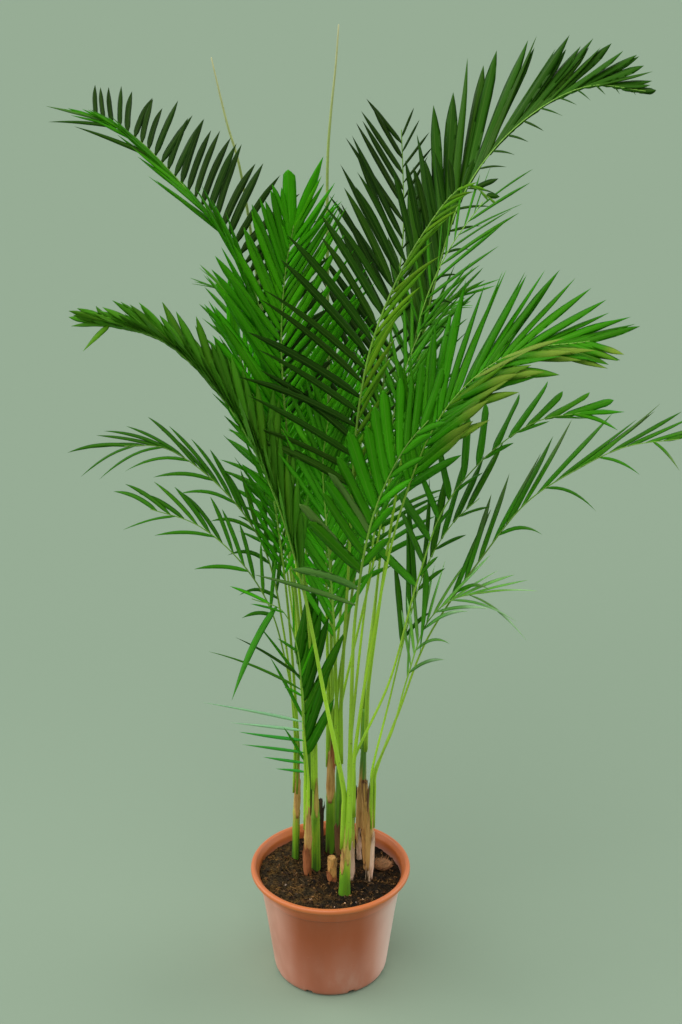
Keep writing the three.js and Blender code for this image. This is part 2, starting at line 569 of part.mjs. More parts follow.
function frondPieces() {
  const curves = FRONDS.map((frond) => stalkCurve(frond.cane, frond.seat, frond.path));
  const ribs = FRONDS.map((frond, index) =>
    solid(midrib(curves[index], vector(frond.face), PETIOLE_RADIUS, MIDRIB_TIP_RADIUS, MIDRIB_STEPS)),
  );
  ribs.forEach((rib, index) => place(index, rib));
  FRONDS.forEach((frond, index) => {
    const blades = [];
    for (const plan of leafletPlan(frond, index, curves[index])) {
      const turn = TRIES.find((tried) => clears(index, blade(plan, ...tried, CLEARANCE)));
      if (turn) {
        const made = blade(plan, ...turn);
        blades.push(made);
        place(index, made);
      }
    }
    const whole = wasm.Manifold.union([ribs[index], ...blades]).simplify(0.02);
    piece(`frond_${String(index + 1).padStart(2, "0")}`, whole, frond.green, 0.5);
  });
}

// ---- The plant in its pot ----

const potSolid = pot();
const soilSolid = soil();
piece("pot", potSolid, 0xb4623f, 0.45);
piece("soil", soilSolid, 0x2b1d14, 0.95);
place("pot", potSolid);
place("soil", soilSolid);

CANES.forEach((cane, i) => {
  const made = solid(stalk(cane, ROOT_DEPTH - CLEARANCE));
  place(`cane ${i}`, made);
  piece(`cane_${String(i + 1).padStart(2, "0")}`, made, 0x7f9a35, 0.5);
});

STUBS.forEach((stub, i) => {
  const made = solid(stalk(stub, ROOT_DEPTH - CLEARANCE));
  place(`stub ${i}`, made);
  piece(`stub_${String(i + 1).padStart(2, "0")}`, made, 0xa9824f, 0.8);
});

const huskSolid = solid(husk());
place("husk", huskSolid);
piece("husk", huskSolid, 0x6d4a26, 0.95);

for (const [name, { cane, path }] of Object.entries(SPEARS)) {
  const rod = midrib(stalkCurve(cane, undefined, path), vector([0, -1, 0]), SPEAR_RADIUS, 0.5, SPEAR_STEPS);
  const made = solid(rod);
  place(name, made);
  piece(name, made, 0x8fae3c, 0.5);
}

frondPieces();

export default group;
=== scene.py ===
import math
from collections import namedtuple

import bpy
import numpy as np
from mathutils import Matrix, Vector, noise


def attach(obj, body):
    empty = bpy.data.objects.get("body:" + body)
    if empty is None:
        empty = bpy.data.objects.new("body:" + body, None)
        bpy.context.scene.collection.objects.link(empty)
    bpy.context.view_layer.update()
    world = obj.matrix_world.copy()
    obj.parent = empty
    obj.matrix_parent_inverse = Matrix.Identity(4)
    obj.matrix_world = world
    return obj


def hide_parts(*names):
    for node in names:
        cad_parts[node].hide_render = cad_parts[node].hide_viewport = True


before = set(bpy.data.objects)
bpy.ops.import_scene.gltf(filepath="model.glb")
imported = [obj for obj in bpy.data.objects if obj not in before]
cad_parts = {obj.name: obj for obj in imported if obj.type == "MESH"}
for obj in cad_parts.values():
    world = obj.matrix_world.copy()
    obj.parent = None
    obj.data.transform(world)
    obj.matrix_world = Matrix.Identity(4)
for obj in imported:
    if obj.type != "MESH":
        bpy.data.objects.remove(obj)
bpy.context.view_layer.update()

# A potted cane palm. Its pieces are drawn in millimetres, and the rest is in metres.
MM = 0.001
UP, FRONT = np.array((0, 0, 1.0)), np.array((0, -1.0, 0))

# ---- camera, floor and light

scene = bpy.context.scene
scene.view_settings.view_transform = "Standard"


def placed(name, data):
    """A new object in the scene."""
    thing = bpy.data.objects.new(name, data)
    scene.collection.objects.link(thing)
    return thing


camera_data = bpy.data.cameras.new("camera")
camera_data.sensor_width = 36
camera_data.lens = 52.73
camera_data.clip_end = 300
camera = placed("camera", camera_data)
camera.location = (0.016, -1.924, 1.478)
camera.rotation_euler = (math.radians(69.13), 0, 0)
scene.camera = camera


def sun(name, strength, softness, tilt, turn, colour):
    lamp = bpy.data.lights.new(name, "SUN")
    lamp.energy = strength
    lamp.angle = math.radians(softness)
    lamp.color = colour
    placed(name, lamp).rotation_euler = (math.radians(tilt), 0, math.radians(turn))


sun("key_light", 1.6, 60, 30, -35, (1, 0.99, 0.95))
sun("left_light", 1.3, 50, 64, -104, (1, 0.99, 0.97))
sun("right_light", 1.1, 50, 64, 106, (1, 0.99, 0.97))

world = bpy.data.worlds.new("studio")
world.use_nodes = True
background = world.node_tree.nodes["Background"].inputs
background["Color"].default_value = (0.98, 0.99, 1, 1)
background["Strength"].default_value = 0.62
scene.world = world

# ---- material tools


class Nodes:
    """A material's node tree, written as nested calls."""

    def __init__(self, name):
        self.material = bpy.data.materials.new(name)
        self.material.use_nodes = True
        self.tree = self.material.node_tree
        self.shader = self.tree.nodes["Principled BSDF"]

    def put(self, kind, inputs=(), output=0, **settings):
        node = self.tree.nodes.new("ShaderNode" + kind)
        for name, value in settings.items():
            setattr(node, name, value)
        for key, value in dict(inputs).items():
            self.feed(node.inputs[key], value)
        return node.outputs[output]

    def feed(self, socket, value):
        if isinstance(value, bpy.types.NodeSocket):
            self.tree.links.new(value, socket)
        elif isinstance(value, tuple) and socket.type == "RGBA":
            socket.default_value = (*value, 1)
        else:
            socket.default_value = value

    def math(self, operation, a, b=0.0):
        return self.put("Math", {0: a, 1: b}, operation=operation)

    def ramp(self, value, low, high, start=0.0, end=1.0):
        """value from low..high to start..end, held inside."""
        keys = {"Value": value, "From Min": low, "From Max": high, "To Min": start, "To Max": end}
        return self.put("MapRange", keys, interpolation_type="SMOOTHSTEP")

    def mix(self, share, a, b, blend="MIX"):
        node = self.tree.nodes.new("ShaderNodeMix")
        node.data_type = "RGBA"
        node.blend_type = blend
        self.feed(node.inputs[0], share)
        self.feed(node.inputs[6], a)
        self.feed(node.inputs[7], b)
        return node.outputs[2]

    def times(self, a, b):
        return self.math("MULTIPLY", a, b)

    def tinted(self, colour, factor):
        """The colour, multiplied channel by channel."""
        return self.mix(1, colour, factor, "MULTIPLY")

    def shade(self, colour, by, low, high, share, factor):
        """The colour, up to a share of it multiplied by the factor where the value by rises."""
        return self.mix(self.ramp(by, low, high, 0, share), colour, self.tinted(colour, factor))

    def tint(self):
        """The colour that the mesh carries."""
        return self.put("Attribute", attribute_name="tint")

    def place(self):
        return self.put("TexCoord", output=3)

    def axis(self, k):
        """The place's x, y or z, in metres."""
        return self.put("SeparateXYZ", {0: self.place()}, k)

    def noise(self, scale, detail=3.0, roughness=0.55, vector=None):
        """Noise of one scale, or of a scale for each axis."""
        vector = vector or self.place()
        if isinstance(scale, tuple):
            vector = self.put("VectorMath", {0: vector, 1: scale}, operation="MULTIPLY")
            scale = 1.0
        keys = {"Vector": vector, "Scale": scale, "Detail": detail, "Roughness": roughness}
        return self.put("TexNoise", keys)

    def surface(self, **sockets):
        for name, value in sockets.items():
            self.feed(self.shader.inputs[name.replace("_", " ")], value)

    def bump(self, height, strength, distance):
        keys = {"Height": height, "Strength": strength, "Distance": distance}
        self.feed(self.shader.inputs["Normal"], self.put("Bump", keys))


def leaf_material():
    """A leaflet: parallel veins along it, a paler midrib, mottling, and light that comes through."""
    n = Nodes("leaf")
    colour = n.tint()
    across, along = (n.put("SeparateXYZ", {0: n.put("UVMap", uv_map="UVMap")}, k) for k in (0, 1))
    patch = n.noise(22, 2)
    lines = n.noise(2.0, 2, vector=n.put("CombineXYZ", {0: n.times(across, 15.0), 1: along, 2: patch}))
    middle = n.math("ABSOLUTE", n.math("SUBTRACT", across, 0.5))
    rib = n.ramp(middle, 0.015, 0.06, 1, 0)
    colour = n.shade(colour, lines, 0.35, 0.65, 0.55, (0.55, 0.6, 0.5))
    colour = n.shade(colour, patch, 0.3, 0.75, 0.35, (1.45, 1.3, 1.2))
    colour = n.mix(n.times(rib, 0.22), colour, n.mix(0.5, colour, (0.32, 0.5, 0.09)))
    n.surface(Base_Color=colour, Roughness=n.ramp(patch, 0.3, 0.7, 0.42, 0.58),
              Specular_IOR_Level=0.3, Specular_Tint=(0.55, 1, 0.28))
    n.bump(n.math("ADD", lines, n.times(rib, 0.8)), 0.35, 0.0004)
    through = n.put("BsdfTranslucent", {"Color": n.tinted(colour, (1.6, 1.7, 0.9))})
    blend = n.put("MixShader", {0: 0.3, 1: n.shader.outputs[0], 2: through})
    n.feed(n.tree.nodes["Material Output"].inputs["Surface"], blend)
    return n.material


def stalk_material():
    """Petioles, midribs and canes: fine streaks along them, with scurfy specks."""
    n = Nodes("stalk")
    colour = n.tint()
    streaks = n.noise((900, 900, 22))
    patches = n.noise((60, 60, 14), 2)
    specks = n.noise((620, 620, 279), 1)
    colour = n.shade(colour, streaks, 0.38, 0.68, 0.4, (0.66, 0.64, 0.5))
    colour = n.shade(colour, patches, 0.4, 0.7, 0.3, (1.35, 1.25, 1.15))
    colour = n.mix(n.ramp(specks, 0.66, 0.72, 0, 0.55), colour, (0.09, 0.06, 0.02))
    n.surface(Base_Color=colour, Roughness=n.ramp(streaks, 0.3, 0.7, 0.36, 0.6))
    n.bump(streaks, 0.5, 0.0005)
    return n.material


def dry_material():
    """Dry sheaths and husk fibre."""
    n = Nodes("dry_sheath")
    colour = n.tint()
    fibres = n.noise((1300, 1300, 30), 4)
    blotches = n.noise((75, 75, 30), 4)
    colour = n.shade(colour, fibres, 0.42, 0.68, 0.7, (0.6, 0.46, 0.32))
    colour = n.shade(colour, blotches, 0.5, 0.72, 0.6, (0.62, 0.45, 0.3))
    n.surface(Base_Color=colour, Roughness=0.85)
    n.bump(fibres, 0.9, 0.0009)
    return n.material


def soil_material():
    n = Nodes("soil")
    colour = n.tint()
    grain = n.noise(420, 5, 0.7)
    clumps = n.noise(70, 4, 0.6)
    colour = n.shade(colour, grain, 0.4, 0.6, 1, (0.12, 0.1, 0.08))
    colour = n.shade(colour, clumps, 0.42, 0.62, 0.8, (3.4, 2.8, 2.0))
    n.surface(Base_Color=colour, Roughness=n.ramp(clumps, 0.3, 0.7, 0.75, 0.97), Specular_IOR_Level=0.15)
    n.bump(grain, 0.9, 0.0018)
    return n.material


def pot_material():
    """Moulded terracotta-coloured plastic: flow marks, faint dust low down, scuffs and water marks, with
    painted light: the top painted a brighter orange, a painted pinkish sheen on both sides and low down, and
    a painted whitish highlight down the right side.
    """
    n = Nodes("pot_plastic")
    height, sideways = n.axis(2), n.axis(0)
    flow = n.noise((9, 9, 2.5))
    dust = n.noise((30, 30, 11), 5, 0.65)
    scuffs = n.noise((40, 40, 320), 4, 0.7)
    colour = n.mix(n.ramp(flow, 0.3, 0.7), (0.33, 0.07, 0.02), (0.4, 0.09, 0.03))
    # Painted light: from the step up to the rim the pot is painted a brighter orange, as if lit from above.
    colour = n.mix(n.times(n.ramp(height, 0.146, 0.172), 0.75), colour, (0.6, 0.17, 0.042))
    grime = n.times(n.ramp(height, 0.0, 0.07, 1, 0.15), n.ramp(dust, 0.45, 0.75))
    colour = n.mix(n.times(grime, 0.5), colour, (0.5, 0.33, 0.26))
    colour = n.mix(n.times(n.ramp(scuffs, 0.64, 0.75), 0.25), colour, (0.62, 0.32, 0.22))
    # Painted sheen: both sides below the collar, and the lower part of the pot, are painted paler and pinker
    # where the plastic would reflect its bright surroundings.
    painted_sheen = n.times(n.ramp(n.math("ABSOLUTE", sideways), 0.04, 0.1), n.ramp(height, 0.168, 0.15))
    painted_sheen = n.math("ADD", painted_sheen, n.ramp(height, 0.12, 0.02, 0, 0.3))
    painted_sheen = n.times(painted_sheen, n.ramp(n.noise((14, 14, 6)), 0.25, 0.7, 0.4, 1))
    colour = n.mix(n.times(painted_sheen, 0.85), colour, (0.86, 0.47, 0.38))
    # Painted highlight: a whitish strip down the right side below the collar.
    pale = n.times(n.ramp(sideways, 0.06, 0.1), n.ramp(height, 0.168, 0.13))
    colour = n.mix(n.times(pale, 0.6), colour, (0.86, 0.72, 0.68))
    rough = n.math("ADD", n.ramp(dust, 0.3, 0.8, 0.33, 0.46), n.times(grime, 0.2))
    n.surface(Base_Color=colour, Roughness=rough, Specular_IOR_Level=0.5)
    n.bump(n.math("ADD", n.times(n.noise(900, 2), 0.3), flow), 0.25, 0.0006)
    return n.material


LEAF, STALK, DRY = leaf_material(), stalk_material(), dry_material()
SOIL, PLASTIC = soil_material(), pot_material()

# ---- mesh tools


def steady(*place):
    """A steady pseudo-random value from 0 to 1 for the numbers that name a place."""
    mixed = sum((i + 1) * 12.9898 * value for i, value in enumerate(place)) + 4.137
    spread = math.sin(mixed) * 43758.5453
    return spread - math.floor(spread)


def jitter(*place):
    """A steady value from -0.5 to 0.5."""
    return steady(*place) - 0.5


def unit(v):
    length = math.sqrt(float(np.dot(v, v)))
    return v / length if length > 1e-12 else v


def smooth(value, low, high):
    """0 below low, 1 above high, and a soft step between them."""
    t = min(max((value - low) / (high - low), 0.0), 1.0)
    return t * t * (3 - 2 * t)


def bell(value, middle, width):
    """1 at the middle, falling away to 0 on both sides."""
    return math.exp(-((value - middle) / width) ** 2)


def circle(count, shift=0.0):
    """The angles of count places around a circle, the first one shifted by a share of the step."""
    return [math.tau * (i + shift) / count for i in range(count)]


def polar(r, turn):
    return r * math.cos(turn), r * math.sin(turn)


def on_globe(lat, a):
    return np.array((*polar(math.cos(lat), a), math.sin(lat)))


class Piece:
    """Gathers points, faces, map places and tints, then becomes one Blender object."""

    def __init__(self):
        self.points, self.faces, self.uvs, self.tints, self.kinds = [], [], [], [], []
        self.count = 0

    def add(self, points, faces, uvs, tints, kind=0):
        points = np.asarray(points, float).reshape(-1, 3)
        self.points.append(points)
        self.uvs.append(np.asarray(uvs, float).reshape(-1, 2))
        self.tints.append(np.broadcast_to(np.asarray(tints, float), points.shape))
        self.faces += [tuple(i + self.count for i in face) for face in faces]
        self.kinds += [kind] * len(faces)
        self.count += len(points)

    def make(self, name, materials, slot, *nodes):
        mesh = bpy.data.meshes.new(name)
        points = np.vstack(self.points) * MM
        mesh.from_pydata(points.tolist(), [], self.faces)
        for material in materials:
            mesh.materials.append(material)
        mesh.polygons.foreach_set("material_index", self.kinds)
        mesh.polygons.foreach_set("use_smooth", [True] * len(self.faces))
        corners = np.zeros(len(mesh.loops), int)
        mesh.loops.foreach_get("vertex_index", corners)
        mesh.uv_layers.new(name="UVMap").data.foreach_set("uv", np.vstack(self.uvs)[corners].ravel())
        tint = mesh.color_attributes.new("tint", "FLOAT_COLOR", "POINT")
        colours = np.hstack([np.vstack(self.tints), np.ones((self.count, 1))])
        tint.data.foreach_set("color", colours.ravel())
        mesh.validate()
        piece = placed(name, mesh)
        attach(piece, "root")
        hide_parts(*nodes)


def bands(rings, around):
    """The faces between neighbouring rings of a stack."""
    faces = []
    for a in range(0, (rings - 1) * around, around):
        b = a + around
        faces += [(a + i, a + (i + 1) % around, b + (i + 1) % around, b + i) for i in range(around)]
    return faces


def skin(rings, around, tip=False):
    """Faces of a stack of closed rings, with a cap at the start, and one at the end or a single tip point."""
    faces = bands(rings, around)
    faces.append(tuple(range(around - 1, -1, -1)))
    last = (rings - 1) * around
    if tip:
        faces += [(last + i, last + (i + 1) % around, rings * around) for i in range(around)]
    else:
        faces.append(tuple(range(last, last + around)))
    return faces


def tube(piece, path, sizes, upper, tints, around, flat=0.0, tip=False, kind=0):
    """A tube along path, sizes (width, height) at each point; flat presses its upper side down."""
    path = np.asarray(path, float)
    along = np.gradient(path, axis=0)
    upper, tints = np.broadcast_to(upper, path.shape), np.broadcast_to(tints, path.shape)
    points, uvs, colours = [], [], []
    count = len(path)
    for k, place in enumerate(path):
        t = unit(along[k])
        side = unit(np.cross(upper[k], t))
        over = np.cross(t, side)
        width, height = sizes[k] if np.ndim(sizes[k]) else (sizes[k], sizes[k])
        for i, turn in enumerate(circle(around)):
            rise = math.sin(turn)
            rise = rise * (1 - flat) if rise > 0 else rise
            points.append(place + side * math.cos(turn) * width + over * rise * height)
            uvs.append((abs(2 * i / around - 1), k / (count - 1)))
            colours.append(tints[k])
    if tip:
        points.append(path[-1] + unit(along[-1]) * width * 1.5)
        uvs.append((0.5, 1))
        colours.append(tints[-1])
    piece.add(points, skin(count, around, tip), uvs, colours, kind)


class Curve:
    """The centripetal spline through the given points, by share of its length."""

    def __init__(self, points):
        steps = 400
        p = [np.array(q, float) for q in points]
        p = [2 * p[0] - p[1]] + p + [2 * p[-1] - p[-2]]
        spans = len(points) - 1
        places = []
        for t in (k / steps * spans for k in range(steps + 1)):
            i = min(int(t), spans - 1)
            w = t - i
            a, b, c, d = p[i:i + 4]
            ab, bc, cd = [max(float(np.sum((y - x) ** 2)) ** 0.25, 1e-4)
                          for x, y in ((a, b), (b, c), (c, d))]
            start = ((b - a) / ab - (c - a) / (ab + bc) + (c - b) / bc) * bc
            end = ((c - b) / bc - (d - b) / (bc + cd) + (d - c) / cd) * bc
            places.append(b + start * w + (3 * (c - b) - 2 * start - end) * w ** 2
                          + (2 * (b - c) + start + end) * w ** 3)
        self.places = np.array(places)
        lengths = np.linalg.norm(np.diff(self.places, axis=0), axis=1)
        self.reach = np.concatenate([[0], np.cumsum(lengths)])
        self.length = self.reach[-1]

    def at(self, share):
        return np.array([np.interp(share * self.length, self.reach, self.places[:, k]) for k in range(3)])

    def along(self, share):
        return unit(self.at(min(1, share + 0.004)) - self.at(max(0, share - 0.004)))


# ---- floor

floor_mesh = bpy.data.meshes.new("floor")
floor_mesh.from_pydata([(-150, -30, 0), (150, -30, 0), (150, 250, 0), (-150, 250, 0)], [], [(0, 1, 2, 3)])
floor = placed("floor", floor_mesh)
floor_look = Nodes("floor")
# Painted light: the floor is painted lighter towards the front, to offset the plant's shadow there.
floor_painted_light_share = floor_look.ramp(floor_look.axis(1), 1.2, -0.3)
floor_colour_with_painted_light = floor_look.mix(floor_painted_light_share, (0.224, 0.301, 0.221), (0.247, 0.326, 0.241))
floor_look.surface(Base_Color=floor_colour_with_painted_light, Roughness=0.95, Specular_IOR_Level=0.0)
floor_mesh.materials.append(floor_look.material)

# ---- pot

POT_HEIGHT, RIM, MOUTH, FOOT = 178, 120, 113, 86
COLLAR, STEP = 109.5, 150
DRAINS, DRAIN_CIRCLE = 8, 81


def rounded(points):
    """A profile with its marked corners rounded: each point is (radius, height, corner radius)."""
    out, turns = [], 5
    for k, (r, z, bend) in enumerate(points):
        here = np.array([r, z], float)
        if not bend or k in (0, len(points) - 1):
            out.append(here)
            continue
        ways = [np.array(points[k + step][:2], float) - here for step in (-1, 1)]
        a, b = (here + unit(way) * min(bend, np.linalg.norm(way) * 0.48) for way in ways)
        for i in range(turns + 1):
            t = i / turns
            out.append((1 - t) ** 2 * a + 2 * t * (1 - t) * here + t * t * b)
    return out


def make_pot():
    body = Piece()
    outside = [
        (FOOT - 9.5, 0, 0), (FOOT - 5, 0.6, 2), (FOOT - 1.2, 4.5, 4), (FOOT + 0.4, 12, 6),
        (92.6, 60, 0), (99, 108, 0), (104.9, STEP - 3.5, 0), (105.5, STEP - 1.5, 0.8), (107.9, STEP, 1),
        (108.6, POT_HEIGHT - 17, 0), (COLLAR, POT_HEIGHT - 9.2, 1.6), (RIM - 3, POT_HEIGHT - 8.8, 1.6),
        (RIM, POT_HEIGHT - 6.6, 2.2), (RIM - 0.4, POT_HEIGHT - 1.8, 2.6), (RIM - 3.6, POT_HEIGHT, 2),
        (MOUTH, POT_HEIGHT - 0.6, 2), (107.6, POT_HEIGHT - 8.6, 2), (106.6, POT_HEIGHT - 17, 0),
        (106.1, STEP + 1, 1), (103.4, STEP - 1.5, 1), (102.5, 140, 0),
    ]
    inside = [(84, 12, 4), (FOOT - 9, 2.5, 3), (0.4, 2.5, 0)]
    profile = rounded(outside + inside)
    around = 256
    count = len(profile)
    points, uvs = [], []
    for i, turn in enumerate(circle(around)):
        nearest = min(abs((turn - drain + math.pi) % math.tau - math.pi)
                      for drain in circle(DRAINS, 0.5))
        notch = 1 - smooth(nearest * DRAIN_CIRCLE, 3.6, 6.4)
        for r, z in profile:
            lift = notch * 4.4 * (1 - smooth(z, 0.5, 9)) if r > 70 else 0
            wave = 0.25 * math.sin(3 * turn + 0.6) * smooth(z, 20, 150)
            points.append((*polar(r + wave, turn), z + lift))
            uvs.append((abs(2 * i / around - 1) * 4, z / 100))
    faces = []
    for i in range(around):
        j = (i + 1) % around
        for k in range(count - 1):
            faces.append((i * count + k, j * count + k, j * count + k + 1, i * count + k + 1))
    faces.append(tuple(i * count for i in range(around - 1, -1, -1)))
    faces.append(tuple(i * count + count - 1 for i in range(around)))
    body.add(points, faces, uvs, (0.5, 0.15, 0.07))
    body.make("pot_body", [PLASTIC], "pot_plastic", "pot")


# ---- soil

SOIL_LEVEL, SOIL_SLOPE, SOIL_RADIUS = 162, 6, 106.4
DAMP = (0.03, 0.018, 0.009)
CRUMBS, CRUMBS_BY_CANES, FIBRES = 460, 90, 190


def ground(x, y):
    """The soil's crumbly surface."""
    slope = -SOIL_SLOPE * (0.8 * x + 0.6 * y) / MOUTH
    swell = 1.5 * math.sin(x / 17 + 1) * math.cos(y / 21)
    coarse = noise.fractal(Vector((x / 9, y / 9, 3.1)), 0.9, 2.1, 4)
    lumps = abs(noise.noise(Vector((x / 5, y / 5, 8.2))))
    edge = smooth(math.hypot(x, y), 92, 106)
    return SOIL_LEVEL + slope + swell + 3.2 * coarse + 2.6 * lumps - 0.8 - 2.5 * edge


def chip(piece, centre, size, turn, tilt, seed, colour):
    """A bit of bark: a flat, broken, six-sided slab."""
    long, wide, thick = size
    spin = np.array([[math.cos(turn), -math.sin(turn), 0], [math.sin(turn), math.cos(turn), 0], [0, 0, 1]])
    lean = np.array([[math.cos(tilt), 0, math.sin(tilt)], [0, 1, 0], [-math.sin(tilt), 0, math.cos(tilt)]])
    turning = spin @ lean
    points = []
    for level in (-0.5, 0.5):
        for i in range(6):
            a = math.tau * (i + 0.5 * steady(seed, i)) / 6
            stretch = 0.65 + 0.5 * steady(seed, i, 3)
            shape = (math.cos(a) * long * stretch, math.sin(a) * wide * stretch,
                     level * thick * (0.6 + 0.6 * steady(seed, i, 5)))
            points.append(centre + turning @ np.array(shape))
    piece.add(points, skin(2, 6), [(0, 0)] * 12, colour)


def make_soil():
    body = Piece()
    rings, around = 84, 220
    points, uvs, colours = [], [], []
    for k in range(1, rings + 1):
        r = SOIL_RADIUS * (k / rings) ** 0.85
        for turn in circle(around, 0.5 * (k % 2)):
            x, y = polar(r, turn)
            points.append((x, y, ground(x, y)))
            uvs.append((x / 100, y / 100))
            shade = 0.55 + 0.9 * noise.noise(Vector((x / 14, y / 14, 1)))
            warm = 0.5 + 0.5 * noise.noise(Vector((x / 30, y / 30, 6)))
            moss = smooth(-x - 0.4 * y, 10, 60) * (0.4 + 0.6 * warm)
            colours.append((0.026 * shade + 0.004 + 0.045 * moss, 0.016 * shade + 0.003 + 0.03 * moss,
                            0.007 * shade + 0.001 + 0.010 * moss))
    for r, z in ((102.6, 148), (82, 12), (76, 3.2)):
        points += [(*polar(r, turn), z) for turn in circle(around)]
    centre = len(points)
    points.append((0, 0, ground(0, 0)))
    hidden = len(points) - len(uvs)
    uvs += [(0, 0)] * hidden
    colours += [DAMP] * hidden
    faces = [face[::-1] for face in bands(rings + 3, around)]
    faces += [(centre, i, (i + 1) % around) for i in range(around)]
    last = (rings + 2) * around
    faces.append(tuple(range(last + around - 1, last - 1, -1)))
    body.add(points, faces, uvs, colours)
    browns = [(0.07, 0.038, 0.016), (0.1, 0.058, 0.024), DAMP, (0.17, 0.1, 0.042), (0.02, 0.012, 0.007),
              (0.045, 0.025, 0.011)]
    for k in range(CRUMBS):
        r, turn = 100 * math.sqrt(steady(k, 1)), math.tau * steady(k, 2)
        x, y = polar(r, turn)
        if k < CRUMBS_BY_CANES:
            (x, y), _, near, _ = CANES[k % len(CANES)]
            away = near + 1.5 + 4 * steady(k, 1)
            x, y = x + away * math.cos(turn), y + away * math.sin(turn)
        long = 1.3 + 4.6 * steady(k, 3) ** 2.4
        size = (long, long * (0.35 + 0.4 * steady(k, 4)), 0.7 + 1.4 * steady(k, 5))
        colour = browns[int(steady(k, 6) * len(browns))]
        chip(body, np.array((x, y, ground(x, y) + 0.5)), size, 6.28 * steady(k, 7),
             0.9 * jitter(k, 8), k, colour)
    for k in range(FIBRES):
        r, turn = 96 * math.sqrt(steady(k, 21)), math.tau * steady(k, 22)
        x, y = polar(r, turn)
        way = 6.28 * steady(k, 23)
        reach = 6 + 20 * steady(k, 24) ** 2
        bend = 1.6 * jitter(k, 25)
        path = []
        for i in range(6):
            t = i / 5 - 0.5
            a = way + bend * t
            px, py = x + math.cos(a) * reach * t, y + math.sin(a) * reach * t
            px, py = np.clip(px, -100, 100), np.clip(py, -100, 100)
            path.append((px, py, ground(px, py) + 0.8 + 1.6 * (0.25 - t * t) * steady(k, 26)))
        thick = 0.18 + 0.24 * steady(k, 27)
        colour = [(0.12, 0.075, 0.03), (0.07, 0.04, 0.018), (0.22, 0.14, 0.06)][int(3 * steady(k, 28))]
        tube(body, path, [thick] * 6, UP, colour, 5)
    pale = [(-28, -78, 2.2), (6, -92, 1.2), (38, -84, 1.7), (48, -72, 1.5), (-66, -40, 1.6), (70, 36, 1.4),
            (22, -80, 1.1), (-50, -66, 1.2), (58, -50, 1.3)]
    for k, (x, y, size) in enumerate(pale):
        chip(body, np.array((x, y, ground(x, y) + size * 0.5)), (size, size * 0.8, size), 6 * steady(k, 31),
             0.5, 900 + k, (0.55, 0.42, 0.34))
    body.make("soil_top", [SOIL], "soil", "soil")


# ---- canes, cut canes and husk

# Each cane: foot (x, y), top (x, y, z), radius at foot and top.
CANES = [
    ((-54, 38), (-48, 32, 350), 5.5, 7), ((-34, -4), (-33, -8, 310), 6, 6.5),
    ((-22, 11), (-22, 8, 370), 7.5, 6.5), ((0, 62), (2, 58, 380), 8.5, 8),
    ((14, 40), (13, 34, 400), 6.5, 7), ((21, -53), (25, -56, 310), 9, 7),
    ((31, -17), (31, -14, 340), 5.5, 7), ((58, -15), (61, -14, 320), 5.5, 7),
    ((-30, 68), (-34, 74, 380), 7, 8.5), ((46, 68), (52, 74, 400), 7.5, 7),
]
TAN, BROWN, WHITISH = (0.55, 0.32, 0.1), (0.17, 0.075, 0.025), (0.8, 0.58, 0.42)
REDDISH, STRAW, UMBER = (0.36, 0.12, 0.035), (0.47, 0.36, 0.08), (0.05, 0.03, 0.012)
LIME, GREEN, DEEP = (0.26, 0.46, 0.02), (0.11, 0.3, 0.012), (0.05, 0.15, 0.01)
# The colours up each cane, as (share of its height, colour).
CANE_TINTS = [
    [(0, DEEP), (0.1, GREEN), (0.35, LIME), (0.5, STRAW), (0.85, TAN), (1, LIME)],
    [(0, UMBER), (0.06, REDDISH), (0.3, REDDISH), (0.45, TAN), (0.7, STRAW), (1, LIME)],
    [(0, DEEP), (0.1, GREEN), (0.35, LIME), (0.5, GREEN), (0.7, LIME)],
    [(0, UMBER), (0.15, GREEN), (0.5, LIME), (0.66, TAN), (0.85, REDDISH), (1, GREEN)],
    [(0, BROWN), (0.3, DEEP), (0.6, GREEN)],
    [(0.15, GREEN), (0.4, LIME), (0.5, STRAW), (0.62, TAN), (0.75, LIME)],
    [(0, UMBER), (0.1, WHITISH), (0.3, STRAW), (0.6, LIME)],
    [(0, UMBER), (0.05, WHITISH), (0.4, TAN), (0.8, STRAW), (1, GREEN)],
    [(0, BROWN), (0.35, DEEP), (1, GREEN)],
    [(0, BROWN), (0.35, TAN), (0.6, DEEP), (1, GREEN)],
]
# Dry sheaths on the canes: (cane, from share, to share, turn in degrees, width in degrees, colour).
SHEATHS = [
    (1, 0.4, 0.95, 285, 110, TAN), (2, 0.0, 0.4, 240, 150, REDDISH), (2, 0.3, 0.85, 290, 100, TAN),
    (3, 0.45, 0.8, 285, 70, STRAW), (4, 0.4, 0.85, 255, 130, TAN), (4, 0.6, 0.98, 300, 90, REDDISH),
    (5, 0.02, 0.3, 250, 160, BROWN), (6, 0.36, 0.8, 300, 60, STRAW), (6, 0.25, 0.6, 235, 45, TAN),
    (7, 0.0, 0.4, 275, 120, WHITISH), (8, 0.0, 0.62, 310, 80, WHITISH), (8, 0.1, 0.8, 240, 100, TAN),
    (9, 0.0, 0.4, 260, 200, BROWN), (10, 0.0, 0.55, 270, 200, TAN),
]
# Cut and dead canes: foot, top, radius at foot and top, and their colours up from the foot.
STUBS = [
    ((-15, 46), (-15, 47, 262), 4.5, 4, (UMBER, UMBER, UMBER)),
    ((3, -19), (2, -20, 203), 7.5, 7, (REDDISH, (0.66, 0.36, 0.1), TAN)),
    ((31, 27), (34, 26, 305), 4.5, 4, (WHITISH, DEEP, UMBER)),
    ((44, 42), (44, 42, 214), 4, 2.5, (WHITISH, WHITISH, BROWN)),
    ((55, 18), (51, 19, 312), 5.5, 5.5, ((0.6, 0.32, 0.1), (0.66, 0.38, 0.12), BROWN)),
]


